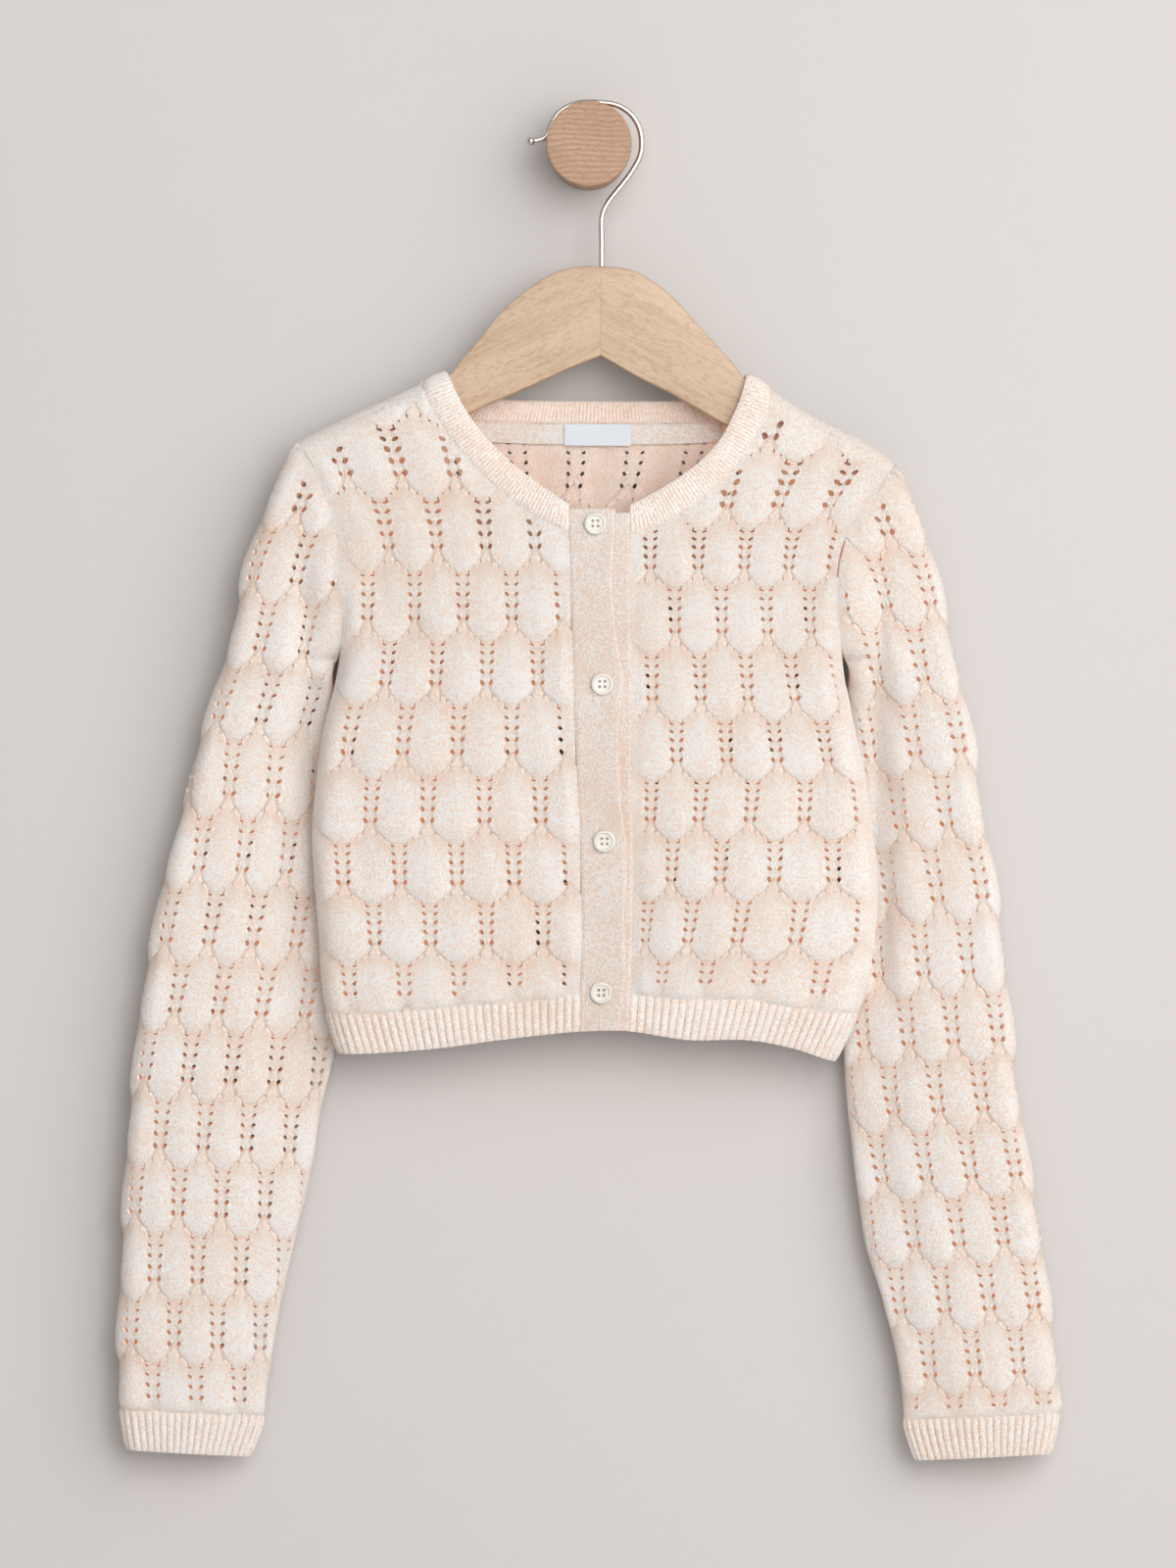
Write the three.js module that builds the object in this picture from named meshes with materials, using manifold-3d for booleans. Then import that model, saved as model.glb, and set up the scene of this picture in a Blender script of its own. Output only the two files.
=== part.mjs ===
// A child's cropped lace-knit shrug, buttoned down the front, on a wooden hanger over a wall peg.
// Millimetres. +Z is up, the wall is the plane Y = 0, and the front of the shrug faces -Y.
// The origin is the centre of the peg's flat back. Right and left are the wearer's: right is -X.
import * as THREE from "three";
import { mergeVertices } from "three/addons/utils/BufferGeometryUtils.js";
import Module from "manifold-3d";

// ---------------------------------------------------------------- driving dimensions
const CLOTH = 1.8; // knit wall of the lace panels
const RIB_CLOTH = 2.0; // hem and cuff ribs
const BAND_CLOTH = 2.4; // folded neckband
const PLACKET_CLOTH = 2.2; // button bands
const TAPE_CLOTH = 1.0; // strip inside the back neck
const LABEL_CLOTH = 0.6;
const SEAM = 0.4; // half of the gap left at a sewn edge
const SEWN_GAP = 0.35; // between a piece and the cloth it is sewn flat on
const FACE_GAP = 0.3; // half of the gap between front and back along the side and shoulder seams
const NECK_GAP = 0.75;
const EDGE_INSET = 1.2; // from the garment's outline to the middle of its cloth

const SIDE_ROUND = 12; // how far the side fold rounds in from the edge
const SIDE_CALM = 22; // the front's folds fade out this close to the side
const SIDE_FLAT = 0.2; // share of its depth that the body loses from the middle to its sides
const ARMHOLE_OPEN = 0.4; // share of the armhole over which the side fold opens out
const SHOULDER_ROUND = 9;
const SHOULDER_SLANT = 0.9; // cosine of the shoulders' slope
const SHOULDER_TURN = 12; // drop over which the armhole's edge turns to face up
const SLEEVE_ROUND = 8;
const SLEEVE_TILT = 4; // a sleeve's rows drop by this from its outer to its inner edge

const LOBE_RAISE = 1.9; // a scale's lower end stands this far off the plain knit
const PLAIN_RAISE = 0.15;
const EDGE_LINE = 1.0; // height of the raised line over a scale's edge
const UNDER_LINE = 1.6; // drop of the flat line under it
const COLUMN_FOOT = 0.68; // share of a row where its eyelet columns end
const MIDDLE_LINE = 0.42; // share of a row where one more line stands near an armhole
const COLUMNS_PER_SCALE = 4;
const COLUMN_REST_Z = -300; // height at which each lace column stands in its own place
const CROWDED = 0.2; // share of a scale by which columns stay clear of a panel's ends
const CORNER_CROWDED = 0.09; // and of the corner of neckline and shoulder
const ARMHOLE_STEP = 6; // between the points of a panel's armhole edge

const UNDERARM_Z = -262;
const UNDERARM_BLEND = 14; // drop over which the sleeve frees itself from the armhole
const SLEEVE_BLEND = 26; // and the width over which its cloth bends to meet it
const SLEEVE_FLAT = 0.55; // share of its depth that a sleeve loses beside the body
const SHOULDER_TIP_Z = { right: -152, left: -164 };
const RIB_RAISE = 0.8;
const HEM_RIB = 4.0; // pitch of the hem's ribs
const HEM_MIDDLE_Z = -452;
const CUFF_RIB = 3.8;
const BAND_RIB = 3.8;
const BAND_RIB_RAISE = 0.35;
const FIRST_KEY = 8;

const LAP = 1.4; // each front is this far from the middle where the button bands overlap
const LAP_START = 2;
const LAP_END = 26; // distances from the band's seam over which that shift fades
const BUTTON_RADIUS = 5.6;
const BUTTON_THICK = 2.2;
const BUTTON_HOLE = 0.75;
const BUTTON_HOLE_STEP = 1.35;

const HANGER_THICK = 11.6;
const HANGER_Y = -31;
const HANGER_BEVEL = 3;
const HOOK_RADIUS = 1.5;
const HOOK_BALL = 2.35;
const PEG_RADIUS = 21.8;
const PEG_STEM = 20;
const PEG_FRONT = -44;
const PEG_DISC = 9;
const PEG_CHAMFER = 0.9;

const FRONT = -1;
const BACK = 1;

// ---------------------------------------------------------------- tables
// A table's first column runs one way; between its rows each column follows a smooth cubic.
function table(names, rows) {
  const last = rows.length - 1;
  const falling = rows[0][0] > rows[last][0];
  const slope = (row, column) => {
    const before = rows[Math.max(0, row - 1)];
    const after = rows[Math.min(last, row + 1)];
    return (after[column] - before[column]) / (after[0] - before[0]);
  };
  return (key) => {
    let row = 0;
    while (row < last - 1 && (falling ? key < rows[row + 1][0] : key > rows[row + 1][0])) row += 1;
    const span = rows[row + 1][0] - rows[row][0];
    const t = THREE.MathUtils.clamp((key - rows[row][0]) / span, 0, 1);
    const values = {};
    names.forEach((name, column) => {
      const start = rows[row][column];
      const end = rows[row + 1][column];
      const bendIn = slope(row, column) * span - (end - start);
      const bendOut = -slope(row + 1, column) * span + (end - start);
      values[name] = start + t * (end - start) + t * (1 - t) * ((1 - t) * bendIn + t * bendOut);
    });
    return values;
  };
}

// The body's outline at each height: the armhole above the underarm, the side fold below it.
const bodyEdge = table(["z", "right", "left"], [
  [-140, -157, 175],
  [-152, -149.5, 165.5],
  [-165, -141.5, 156.5],
  [-180, -135.5, 144.5],
  [-198, -129.8, 133.5],
  [-215, -126.8, 128.8],
  [-237, -126, 128.3],
  [-262, -128, 130],
  [-276, -130.5, 132],
  [-301, -136.5, 137],
  [-326, -140, 142.5],
  [-351, -142, 145.5],
  [-376, -140.8, 148],
  [-401, -138.8, 147],
  [-426, -137.3, 143.5],
  [-441, -135, 139],
  [-470, -126.5, 125],
]);

// Across the body: the shoulder line, carried on over the neck, and the lines of the hem.
const shoulderLine = table(["x", "z"], [
  [-160, -159],
  [-149.5, -151],
  [-128.5, -140.5],
  [-112, -133],
  [-90.5, -123.5],
  [-73, -115.5],
  [-40, -100],
  [6, -92],
  [50, -101],
  [82, -117.5],
  [108.5, -134.5],
  [126.8, -144],
  [145, -153.3],
  [158, -163.5],
  [170, -174],
]);
const hemLine = table(["x", "top", "bottom"], [
  [-137, -441.5, -463],
  [-120, -444, -463.8],
  [-99, -442.5, -462.8],
  [-74, -440, -460.6],
  [-48, -438, -457],
  [-23, -436, -454],
  [-6, -433, -452.4],
  [20, -433.4, -452.2],
  [50, -436, -456.6],
  [81, -436, -456.8],
  [104, -440, -461],
  [125, -442.3, -467.6],
  [140, -442.5, -468],
]);

// How deep the garment hangs: its middle plane, and how far its front and back stand off it.
const bodyDepth = table(["z", "middle", "front", "back"], [
  [-100, -31, 11.6, 11.4],
  [-135, -31, 11.8, 11.4],
  [-160, -31.2, 12.4, 11.4],
  [-195, -31.8, 13.5, 11.5],
  [-240, -33.2, 15.5, 12.5],
  [-300, -34.6, 16.5, 13],
  [-380, -35, 15.5, 12.5],
  [-441, -35, 12.8, 10.8],
  [-470, -35, 11, 9.6],
]);

// The largest soft folds in the front: each runs between two points, pressed in by its depth.
const FRONT_FOLDS = [
  { fromX: -118, fromZ: -205, toX: -84, toZ: -262, width: 9, depth: 2.0 },
  { fromX: 121, fromZ: -214, toX: 86, toZ: -276, width: 10, depth: 2.2 },
  { fromX: 128, fromZ: -300, toX: 104, toZ: -372, width: 9, depth: 1.8 },
  { fromX: -126, fromZ: -318, toX: -106, toZ: -388, width: 9, depth: 1.6 },
  { fromX: 60, fromZ: -392, toX: 48, toZ: -432, width: 10, depth: 1.4 },
];

// The button bands: the upper one's seam and free edge, and the seam of the one under it.
const placketEdge = table(["z", "seam", "free", "under"], [
  [-186, -10.2, 12.9, 20.6],
  [-205, -9.4, 12.2, 20.2],
  [-223, -8.8, 11, 20.4],
  [-254, -7.8, 13.7, 20.8],
  [-276, -7.2, 17.2, 21.4],
  [-296, -6.6, 14.8, 21.2],
  [-334, -4.8, 15.5, 21.2],
  [-362, -3.8, 19, 22],
  [-398, -3, 17.4, 21.6],
  [-426, -3.8, 18.2, 21],
  [-455, -4.8, 14.4, 19.6],
]);
const PLACKET_UNDER_WIDTH = 22;

// The neckline: the sewn edge of the band and its free edge, in sections from the centre front
// up to the shoulder and, behind, from shoulder to shoulder.
const NECK = {
  right: [
    { seamX: -10.6, seamZ: -198, edgeX: -10.6, edgeZ: -184.2 },
    { seamX: -22, seamZ: -192, edgeX: -17, edgeZ: -179.8 },
    { seamX: -37.5, seamZ: -182.5, edgeX: -29.5, edgeZ: -171 },
    { seamX: -52.8, seamZ: -169.5, edgeX: -43, edgeZ: -160 },
    { seamX: -66.5, seamZ: -154.5, edgeX: -55.5, edgeZ: -146.6 },
    { seamX: -75.5, seamZ: -141.8, edgeX: -63.3, edgeZ: -135.5 },
    { seamX: -82, seamZ: -129.5, edgeX: -69, edgeZ: -124.6 },
    { seamX: -84.8, seamZ: -120.9, edgeX: -73, edgeZ: -115.5 },
  ],
  left: [
    { seamX: 21.4, seamZ: -199, edgeX: 21.4, edgeZ: -184.6 },
    { seamX: 34.7, seamZ: -194.6, edgeX: 28.6, edgeZ: -181 },
    { seamX: 51.6, seamZ: -184.6, edgeX: 43.6, edgeZ: -172.2 },
    { seamX: 67.4, seamZ: -171.6, edgeX: 57.5, edgeZ: -161.6 },
    { seamX: 79.5, seamZ: -157.2, edgeX: 67.6, edgeZ: -150.4 },
    { seamX: 87, seamZ: -144, edgeX: 74.2, edgeZ: -137.8 },
    { seamX: 91.8, seamZ: -131.5, edgeX: 78.4, edgeZ: -127 },
    { seamX: 92.4, seamZ: -123.8, edgeX: 80.7, edgeZ: -116.8 },
  ],
  back: [
    { seamX: -84.8, seamZ: -120.9, edgeX: -73, edgeZ: -115.5 },
    { seamX: -79, seamZ: -131.5, edgeX: -68.5, edgeZ: -122.5 },
    { seamX: -66, seamZ: -138.5, edgeX: -57, edgeZ: -127.4 },
    { seamX: -42, seamZ: -141, edgeX: -38, edgeZ: -129.7 },
    { seamX: 2, seamZ: -141.6, edgeX: 2, edgeZ: -130.2 },
    { seamX: 46, seamZ: -141.4, edgeX: 43, edgeZ: -130.2 },
    { seamX: 71, seamZ: -139.6, edgeX: 62, edgeZ: -128.6 },
    { seamX: 85, seamZ: -134, edgeX: 74.6, edgeZ: -124.4 },
    { seamX: 92.4, seamZ: -123.8, edgeX: 80.7, edgeZ: -116.8 },
  ],
};

// The sleeves: outer and inner edge at each height, how far each stands from the wall, how full
// the sleeve is, and how far the lace columns stand from the outer edge.
const SLEEVE_COLUMNS = ["z", "outer", "inner", "outerY", "innerY", "depth", "shift"];
const SLEEVES = {
  right: {
    section: table(SLEEVE_COLUMNS, [
      [-145, -146, -116, -31, -31, 8, 0],
      [-154, -151.5, -117, -31, -31, 8.5, 0],
      [-168, -158.5, -118.5, -31, -31, 9, 0],
      [-183, -164, -119.5, -31, -31, 9.8, 0],
      [-211, -174.5, -121.5, -31, -32, 10.5, 0],
      [-240, -180.3, -122, -31, -33, 11, 0],
      [-254, -183.4, -126, -30.7, -33, 11, 0],
      [-264, -186, -130.4, -30.5, -32, 11, 0],
      [-276, -190, -130.4, -30, -25.4, 10.5, 0],
      [-292, -195.2, -130.6, -29, -19, 10.5, 0],
      [-308, -200, -130.4, -28.5, -15.4, 10.3, 1.5],
      [-341, -208, -129.6, -28, -13.4, 10, 6],
      [-379, -218, -129, -27.5, -13, 10, 11],
      [-404, -223, -129, -27, -13.2, 10, 12],
      [-436, -228.7, -129, -26.5, -13.5, 10, 12],
      [-457, -231.4, -129.9, -26, -14, 10, 11.5],
      [-489, -234.6, -137, -25.5, -15, 10, 11],
      [-530, -237.6, -144, -25, -17, 9.8, 11],
      [-570, -239.4, -153.6, -24.5, -19, 9.4, 11],
      [-608, -240.9, -161, -24, -20.5, 9, 11],
      [-640, -240.9, -165.6, -24, -21, 8.5, 11],
      [-650, -240.4, -167, -24, -21.4, 8, 11],
      [-668, -237.2, -174, -24, -22, 7, 11],
    ]),
    rows: [-161, -197, -233, -268, -304, -343, -381, -418, -453, -488, -522, -556, -590, -622, -656],
    firstPhase: 0,
    pitch: 21.8,
    fold: { fromX: -141, fromZ: -205, toX: -146, toZ: -345, width: 8, depth: 5 },
    cuffTop: -646,
    cuffBottom: -667,
  },
  left: {
    section: table(SLEEVE_COLUMNS, [
      [-155, 150, 119, -31, -31, 8, 1.5],
      [-165, 158.6, 120, -31, -31, 8.5, 1.5],
      [-180, 165.5, 121.5, -31, -31, 9, 1.5],
      [-197, 171.5, 122.5, -31, -31, 9.8, 1.5],
      [-224, 179.5, 125, -31, -32.5, 10.5, 1.5],
      [-240, 182.5, 124, -31, -33.2, 11, 1.5],
      [-254, 185.2, 128, -30.7, -33, 11, 1.5],
      [-264, 187.2, 132.3, -30.5, -32, 11, 1.5],
      [-276, 190.2, 131.8, -30, -25.4, 10.5, 1.5],
      [-292, 194, 132, -29, -19, 10.5, 1.5],
      [-308, 197, 132.2, -28.5, -15.4, 10.3, 1.5],
      [-344, 201.8, 132.6, -28, -13.4, 10, 1.5],
      [-375, 207.6, 133, -27.5, -13, 10, 1.5],
      [-426, 213.6, 131, -26.5, -13.5, 10, 1.5],
      [-457, 216.8, 130.4, -26, -14, 10, 1.5],
      [-480, 218.8, 131.5, -25.6, -15, 10, 1.5],
      [-524, 225.8, 136.4, -25, -17, 9.8, 1.5],
      [-560, 231.4, 141.8, -24.6, -18.6, 9.4, 1.5],
      [-590, 235.4, 151, -24.2, -19.8, 9.2, 1.5],
      [-622, 239.6, 158.4, -24, -20.8, 8.8, 1.5],
      [-642, 241.4, 160.6, -24, -21, 8.4, 1.5],
      [-652, 240.8, 161.4, -24, -21.4, 8, 1.5],
      [-672, 236.6, 168, -24, -22, 7, 1.5],
    ]),
    rows: [-172, -209, -246, -284, -321, -358, -396, -434, -468, -503, -537, -571, -604, -637, -670],
    firstPhase: 0,
    pitch: 22.5,
    fold: { fromX: 148, fromZ: -215, toX: 152, toZ: -452, width: 7, depth: 5.5 },
    cuffTop: -648,
    cuffBottom: -669,
  },
};

// The lace of each body panel: where its rows start, and where its columns stand.
const FRONT_RIGHT_LACE = {
  rows: [-144.5, -181.5, -219, -254.5, -286.5, -323.5, -357, -387.5, -418, -450],
  firstPhase: 0,
  firstColumn: -12,
  pitch: -27.3,
};
const FRONT_LEFT_LACE = {
  rows: [-162, -197, -226.5, -261, -295, -325, -355, -386, -417, -449],
  firstPhase: 0.5,
  firstColumn: 32,
  pitch: 24.8,
};
const BACK_LACE = {
  rows: [-151, -185, -220, -254, -288, -321, -354, -387, -419, -451],
  firstPhase: 0,
  firstColumn: -11,
  pitch: 26.5,
};

// ---------------------------------------------------------------- small helpers
const { clamp, lerp, smoothstep } = THREE.MathUtils;
const vector = (x, y, z) => new THREE.Vector3(x, y, z);
const sideOf = (x) => (x < 0 ? "right" : "left");
const outwardOf = (side) => (side === "right" ? -1 : 1);

// Depth of a soft fold at a point: a trough between its two ends, fading at both.
function foldDepth(fold, x, z) {
  const runX = fold.toX - fold.fromX;
  const runZ = fold.toZ - fold.fromZ;
  const length = Math.hypot(runX, runZ);
  const along = ((x - fold.fromX) * runX + (z - fold.fromZ) * runZ) / length;
  const across = ((x - fold.fromX) * runZ - (z - fold.fromZ) * runX) / length;
  const start = smoothstep(along, -0.1 * length, 0.25 * length);
  const end = smoothstep(length - along, -0.1 * length, 0.3 * length);
  return fold.depth * start * end * Math.exp(-((across / fold.width) ** 2));
}

// ---------------------------------------------------------------- the body's surface
const edgeX = (side, z) => bodyEdge(z)[side] - outwardOf(side) * EDGE_INSET;
const shoulderZ = (x) => shoulderLine(x).z - EDGE_INSET;

// 1 on the side fold, falling to 0 up the armhole, where the body stays open to the sleeve.
function sideFold(side, z) {
  if (z < UNDERARM_Z) return 1;
  const rise = (z - UNDERARM_Z) / (SHOULDER_TIP_Z[side] - UNDERARM_Z);
  return clamp(1 - rise / ARMHOLE_OPEN, 0, 1);
}

// The two bands at the centre front lie on each other, so each front is moved off the middle.
function frontLap(x, z, lap) {
  if (!lap) return 0;
  const seam = placketEdge(z);
  const reach = lap < 0 ? seam.seam - x : x - seam.under;
  return lap * LAP * (1 - smoothstep(reach, LAP_START, LAP_END));
}

function bodyParts(x, z, face, lap) {
  const depth = bodyDepth(z);
  const side = sideOf(x);
  const span = edgeX(side, z);
  const inward = Math.max(0, outwardOf(side) * (span - x));
  const below = Math.max(0, SHOULDER_SLANT * (shoulderZ(x) - z));
  const folds = face === FRONT ? FRONT_FOLDS.reduce((sum, fold) => sum + foldDepth(fold, x, z), 0) : 0;
  const calm = smoothstep(inward, 0, SIDE_CALM);
  return {
    middle: depth.middle + folds * calm + frontLap(x, z, lap),
    full: depth[face === FRONT ? "front" : "back"] * (1 - SIDE_FLAT * Math.min(1, (x / span) ** 2)),
    round: clamp(1 - inward / SIDE_ROUND, 0, 1) * sideFold(side, z),
    top: clamp(1 - below / SHOULDER_ROUND, 0, 1),
  };
}

// A point of the cloth's middle surface over (x, z), with the direction that faces out of it.
function bodyPoint(x, z, face, lap = 0) {
  const swell = (px, py, pz) => {
    const part = bodyParts(px, pz, face, lap);
    return ((py - part.middle - face * FACE_GAP) / part.full) ** 2 + part.round ** 2 + part.top ** 2;
  };
  const here = bodyParts(x, z, face, lap);
  const lift = Math.sqrt(Math.max(0, 1 - here.round ** 2 - here.top ** 2));
  const y = here.middle + face * (FACE_GAP + here.full * lift);
  const step = 0.05;
  const normal = vector(
    swell(x + step, y, z) - swell(x - step, y, z),
    swell(x, y + step, z) - swell(x, y - step, z),
    swell(x, y, z + step) - swell(x, y, z - step),
  );
  if (normal.y * face < 1e-6) normal.y = face * 1e-6;
  return { at: vector(x, y, z), out: normal.normalize() };
}

// Round the armhole the cloth of body and sleeve shares one outward direction.
function armholeOut(side, z, face) {
  const low = sideFold(side, z);
  const high = clamp(1 - (SHOULDER_TIP_Z[side] - z) / SHOULDER_TURN, 0, 1);
  const forward = Math.sqrt(Math.max(0, 1 - Math.max(low, high) ** 2)) + 0.05;
  return vector(0, face * forward, high - low).normalize();
}

// ---------------------------------------------------------------- lace relief
// Each row of scales stands half a scale aside from the one above it.
const rowPhase = (lace, row) => (lace.firstPhase + 0.5 * row) % 1;
const rowTop = ({ rows }, row) => {
  const last = rows.length - 1;
  if (row < 0) return rows[0] - row * (rows[0] - rows[1]);
  if (row > last) return rows[last] - (row - last) * (rows[last - 1] - rows[last]);
  return rows[row];
};
// 1 in the middle of a scale of this row, -1 on its eyelet columns.
const scaleWave = (lace, row, column) =>
  Math.cos(2 * Math.PI * (column - rowPhase(lace, row) - 0.5));
const scaleEdge = (lace, row, column) => {
  const share = (1 + COLUMN_FOOT) / 2 + ((1 - COLUMN_FOOT) / 2) * scaleWave(lace, row, column);
  return lerp(rowTop(lace, row), rowTop(lace, row + 1), share);
};

// The lines that carry the relief, from the top down: each gives a height and a raise. Above a
// height there is one more line between them, where the edge of the piece curves.
function laceLines(lace, finerAbove = Infinity) {
  const lines = [];
  for (let row = -1; row < lace.rows.length; row += 1) {
    const raised = (column) => 0.5 + 0.5 * scaleWave(lace, row, column);
    const middle = lerp(rowTop(lace, row), rowTop(lace, row + 1), MIDDLE_LINE);
    if (middle > finerAbove) {
      lines.push({ z: () => middle, raise: (column) => PLAIN_RAISE + 0.5 * LOBE_RAISE * raised(column) });
    }
    lines.push({
      z: (column) => scaleEdge(lace, row, column) + EDGE_LINE,
      raise: (column) => PLAIN_RAISE + LOBE_RAISE * raised(column),
    });
    lines.push({
      z: (column) => scaleEdge(lace, row, column) - UNDER_LINE,
      raise: () => 0,
    });
  }
  return lines;
}

// ---------------------------------------------------------------- closed walls from strips
// A strip is a row of points with rising keys. Two strips are joined by stepping along whichever
// has the nearer next key, so strips of different length and spacing still close up.
function join(faces, points, first, second) {
  const far = (a, b) => points[a].distanceToSquared(points[b]);
  const add = (a, b, c) => {
    if (a !== b && b !== c && a !== c) faces.push(a, b, c);
  };
  let i = 0;
  let j = 0;
  while (i < first.length - 1 || j < second.length - 1) {
    const nextFirst = i < first.length - 1 ? first[i + 1].key : Infinity;
    const nextSecond = j < second.length - 1 ? second[j + 1].key : Infinity;
    const [a, b] = [first[i].id, second[j].id];
    if (Math.abs(nextFirst - nextSecond) < 1e-6) {
      const [c, d] = [first[i + 1].id, second[j + 1].id];
      if (far(a, d) < far(b, c)) {
        add(a, b, d);
        add(a, d, c);
      } else {
        add(a, b, c);
        add(b, d, c);
      }
      i += 1;
      j += 1;
    } else if (nextFirst < nextSecond) {
      add(a, b, first[i + 1].id);
      i += 1;
    } else {
      add(a, b, second[j + 1].id);
      j += 1;
    }
  }
}

// Strips of { key, at, out, raise } make an outer sheet with all the relief and a plain inner
// sheet on fewer points, closed round the edge.
function clothWall(strips, thick, keepStrip, keepKey) {
  const points = [];
  const faces = [];
  const place = (point, shift) => points.push(point.at.clone().addScaledVector(point.out, shift)) - 1;
  const outer = strips.map((strip) => strip.map((point) => ({
    key: point.key,
    id: place(point, thick / 2 + (point.raise || 0)),
  })));
  const kept = strips.map((strip, index) => ({ strip, index }))
    .filter(({ index }) => index === 0 || index === strips.length - 1 || keepStrip(index));
  const inner = kept.map(({ strip }) => strip
    .filter((point, index) => index === 0 || index === strip.length - 1 || keepKey(point.key))
    .map((point) => ({ key: point.key, id: place(point, -thick / 2) })));
  for (let i = 0; i < outer.length - 1; i += 1) join(faces, points, outer[i], outer[i + 1]);
  for (let i = 0; i < inner.length - 1; i += 1) join(faces, points, inner[i + 1], inner[i]);
  const ends = (list, indices, pick) => list.map((strip, i) => ({ key: indices[i], id: pick(strip).id }));
  const head = (strip) => strip[0];
  const tail = (strip) => strip[strip.length - 1];
  const all = outer.map((_, i) => i);
  const some = kept.map(({ index }) => index);
  join(faces, points, ends(outer, all, head), ends(inner, some, head));
  join(faces, points, ends(inner, some, tail), ends(outer, all, tail));
  join(faces, points, tail(outer), tail(inner));
  join(faces, points, head(inner), head(outer));
  return closedGeometry(points, faces);
}

function closedGeometry(points, faces) {
  let volume = 0;
  for (let i = 0; i < faces.length; i += 3) {
    const [a, b, c] = [points[faces[i]], points[faces[i + 1]], points[faces[i + 2]]];
    volume += a.dot(b.clone().cross(c));
  }
  if (volume < 0) faces.reverse();
  const geometry = new THREE.BufferGeometry().setFromPoints(points);
  geometry.setIndex(faces);
  geometry.computeVertexNormals();
  return geometry;
}

// ---------------------------------------------------------------- materials
const finish = (color, roughness, metalness = 0) =>
  new THREE.MeshStandardMaterial({ color, roughness, metalness });
const YARN = "#ecd9c8";
const RIB_YARN = "#efd6c0";
const BEECH = "#dcb88f";
const PEG_WOOD = "#d3a482";
const STEEL = "#b9b5ae";
const IVORY = "#dedccb";
const SATIN = "#eceae6";

const shrug = new THREE.Group();
shrug.name = "knit_shrug_on_hanger";
function addPart(name, geometry, material) {
  const mesh = new THREE.Mesh(geometry, material);
  mesh.name = name;
  shrug.add(mesh);
}

// ---------------------------------------------------------------- front and back panels
// Where a lace column stands at a height: its own place, drawn along with the edges it lies between.
function columnMap(lace, near, far) {
  const nominal = (column) => lace.firstColumn + lace.pitch * column;
  const columnAt = (x) => (x - lace.firstColumn) / lace.pitch;
  const start = columnAt(near(COLUMN_REST_Z));
  const end = columnAt(far(COLUMN_REST_Z));
  const x = (column, z) => {
    const t = clamp((column - start) / (end - start), 0, 1);
    const nearShift = near(z) - nominal(start);
    const farShift = far(z) - nominal(end);
    return nominal(column) + nearShift * (1 - t) ** 2 + farShift * t ** 1.6;
  };
  return { start, end, x };
}

// Height of the sewn neck edge over x, from its sections.
const seamHeight = (sections) => {
  const rows = sections.map((section) => [section.seamX, section.seamZ]);
  return table(["x", "z"], rows);
};
const neckSeam = {
  right: seamHeight(NECK.right),
  left: seamHeight(NECK.left),
  back: seamHeight(NECK.back),
};
// The panel's own edge stops short of the band, measured square to the neckline.
function neckTop(part, x) {
  const slope = neckSeam[part](x + 0.5).z - neckSeam[part](x - 0.5).z;
  return neckSeam[part](x).z - NECK_GAP * Math.hypot(1, slope);
}
const NECK_RIGHT_X = NECK.right[NECK.right.length - 1].seamX;
const NECK_LEFT_X = NECK.left[NECK.left.length - 1].seamX;

// More points down a panel's edge while it follows the armhole.
function finerEdge(rows) {
  const points = [];
  rows.forEach((row, index) => {
    points.push(row);
    const next = rows[index + 1];
    if (!next || row.z < UNDERARM_Z - ARMHOLE_STEP) return;
    const parts = Math.max(1, Math.round((row.z - next.z) / ARMHOLE_STEP));
    for (let part = 1; part < parts; part += 1) {
      const share = part / parts;
      points.push({ key: lerp(row.key, next.key, share), z: lerp(row.z, next.z, share), raise: 0 });
    }
  });
  return points;
}

const SHOULDER_STEPS = [0.8, 3, 6.4, 10.5]; // drops of the points that round over the shoulder
const SIDE_STEPS = [0.9, 3.5]; // distances in of the columns that round the side
const SHOULDER_CLEAR = 1.6; // the relief's lines stay this far from a panel's edges
const NECK_CLEAR = 2.2;
const HEM_CLEAR = 2.4;
const TOP_KEY = -100; // keys of a panel's top and bottom edge
const BOTTOM_KEY = 1000;

// Where a panel's columns stand, counted in scales from its first: the regular ones, those at its
// sides, and those through the corners of the neckline.
function panelColumns({ lace, map, neck, sides }) {
  const columns = [];
  const last = map.end * COLUMNS_PER_SCALE;
  for (let step = Math.ceil(map.start * COLUMNS_PER_SCALE); step <= last; step += 1) {
    const column = step / COLUMNS_PER_SCALE;
    if (column - map.start > CROWDED && map.end - column > CROWDED) columns.push(column);
  }
  columns.push(map.start, map.end);
  const sideStep = SIDE_STEPS.map((step) => Math.abs(step / lace.pitch));
  if (sides.start) columns.push(...sideStep.map((step) => map.start + step));
  if (sides.end) columns.push(...sideStep.map((step) => map.end - step));
  const cornerColumns = new Set();
  for (const { x, z } of neck.corners) {
    let column = (x - lace.firstColumn) / lace.pitch;
    for (let turn = 0; turn < 20; turn += 1) column += (x - map.x(column, z)) / lace.pitch;
    const crowds = (other) => !cornerColumns.has(other) && Math.abs(other - column) < CORNER_CROWDED;
    const crowded = columns.findIndex(crowds);
    if (crowded >= 0) columns.splice(crowded, 1);
    columns.push(column);
    cornerColumns.add(column);
  }
  columns.sort((a, b) => a - b);
  return { columns, cornerColumns };
}

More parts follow.
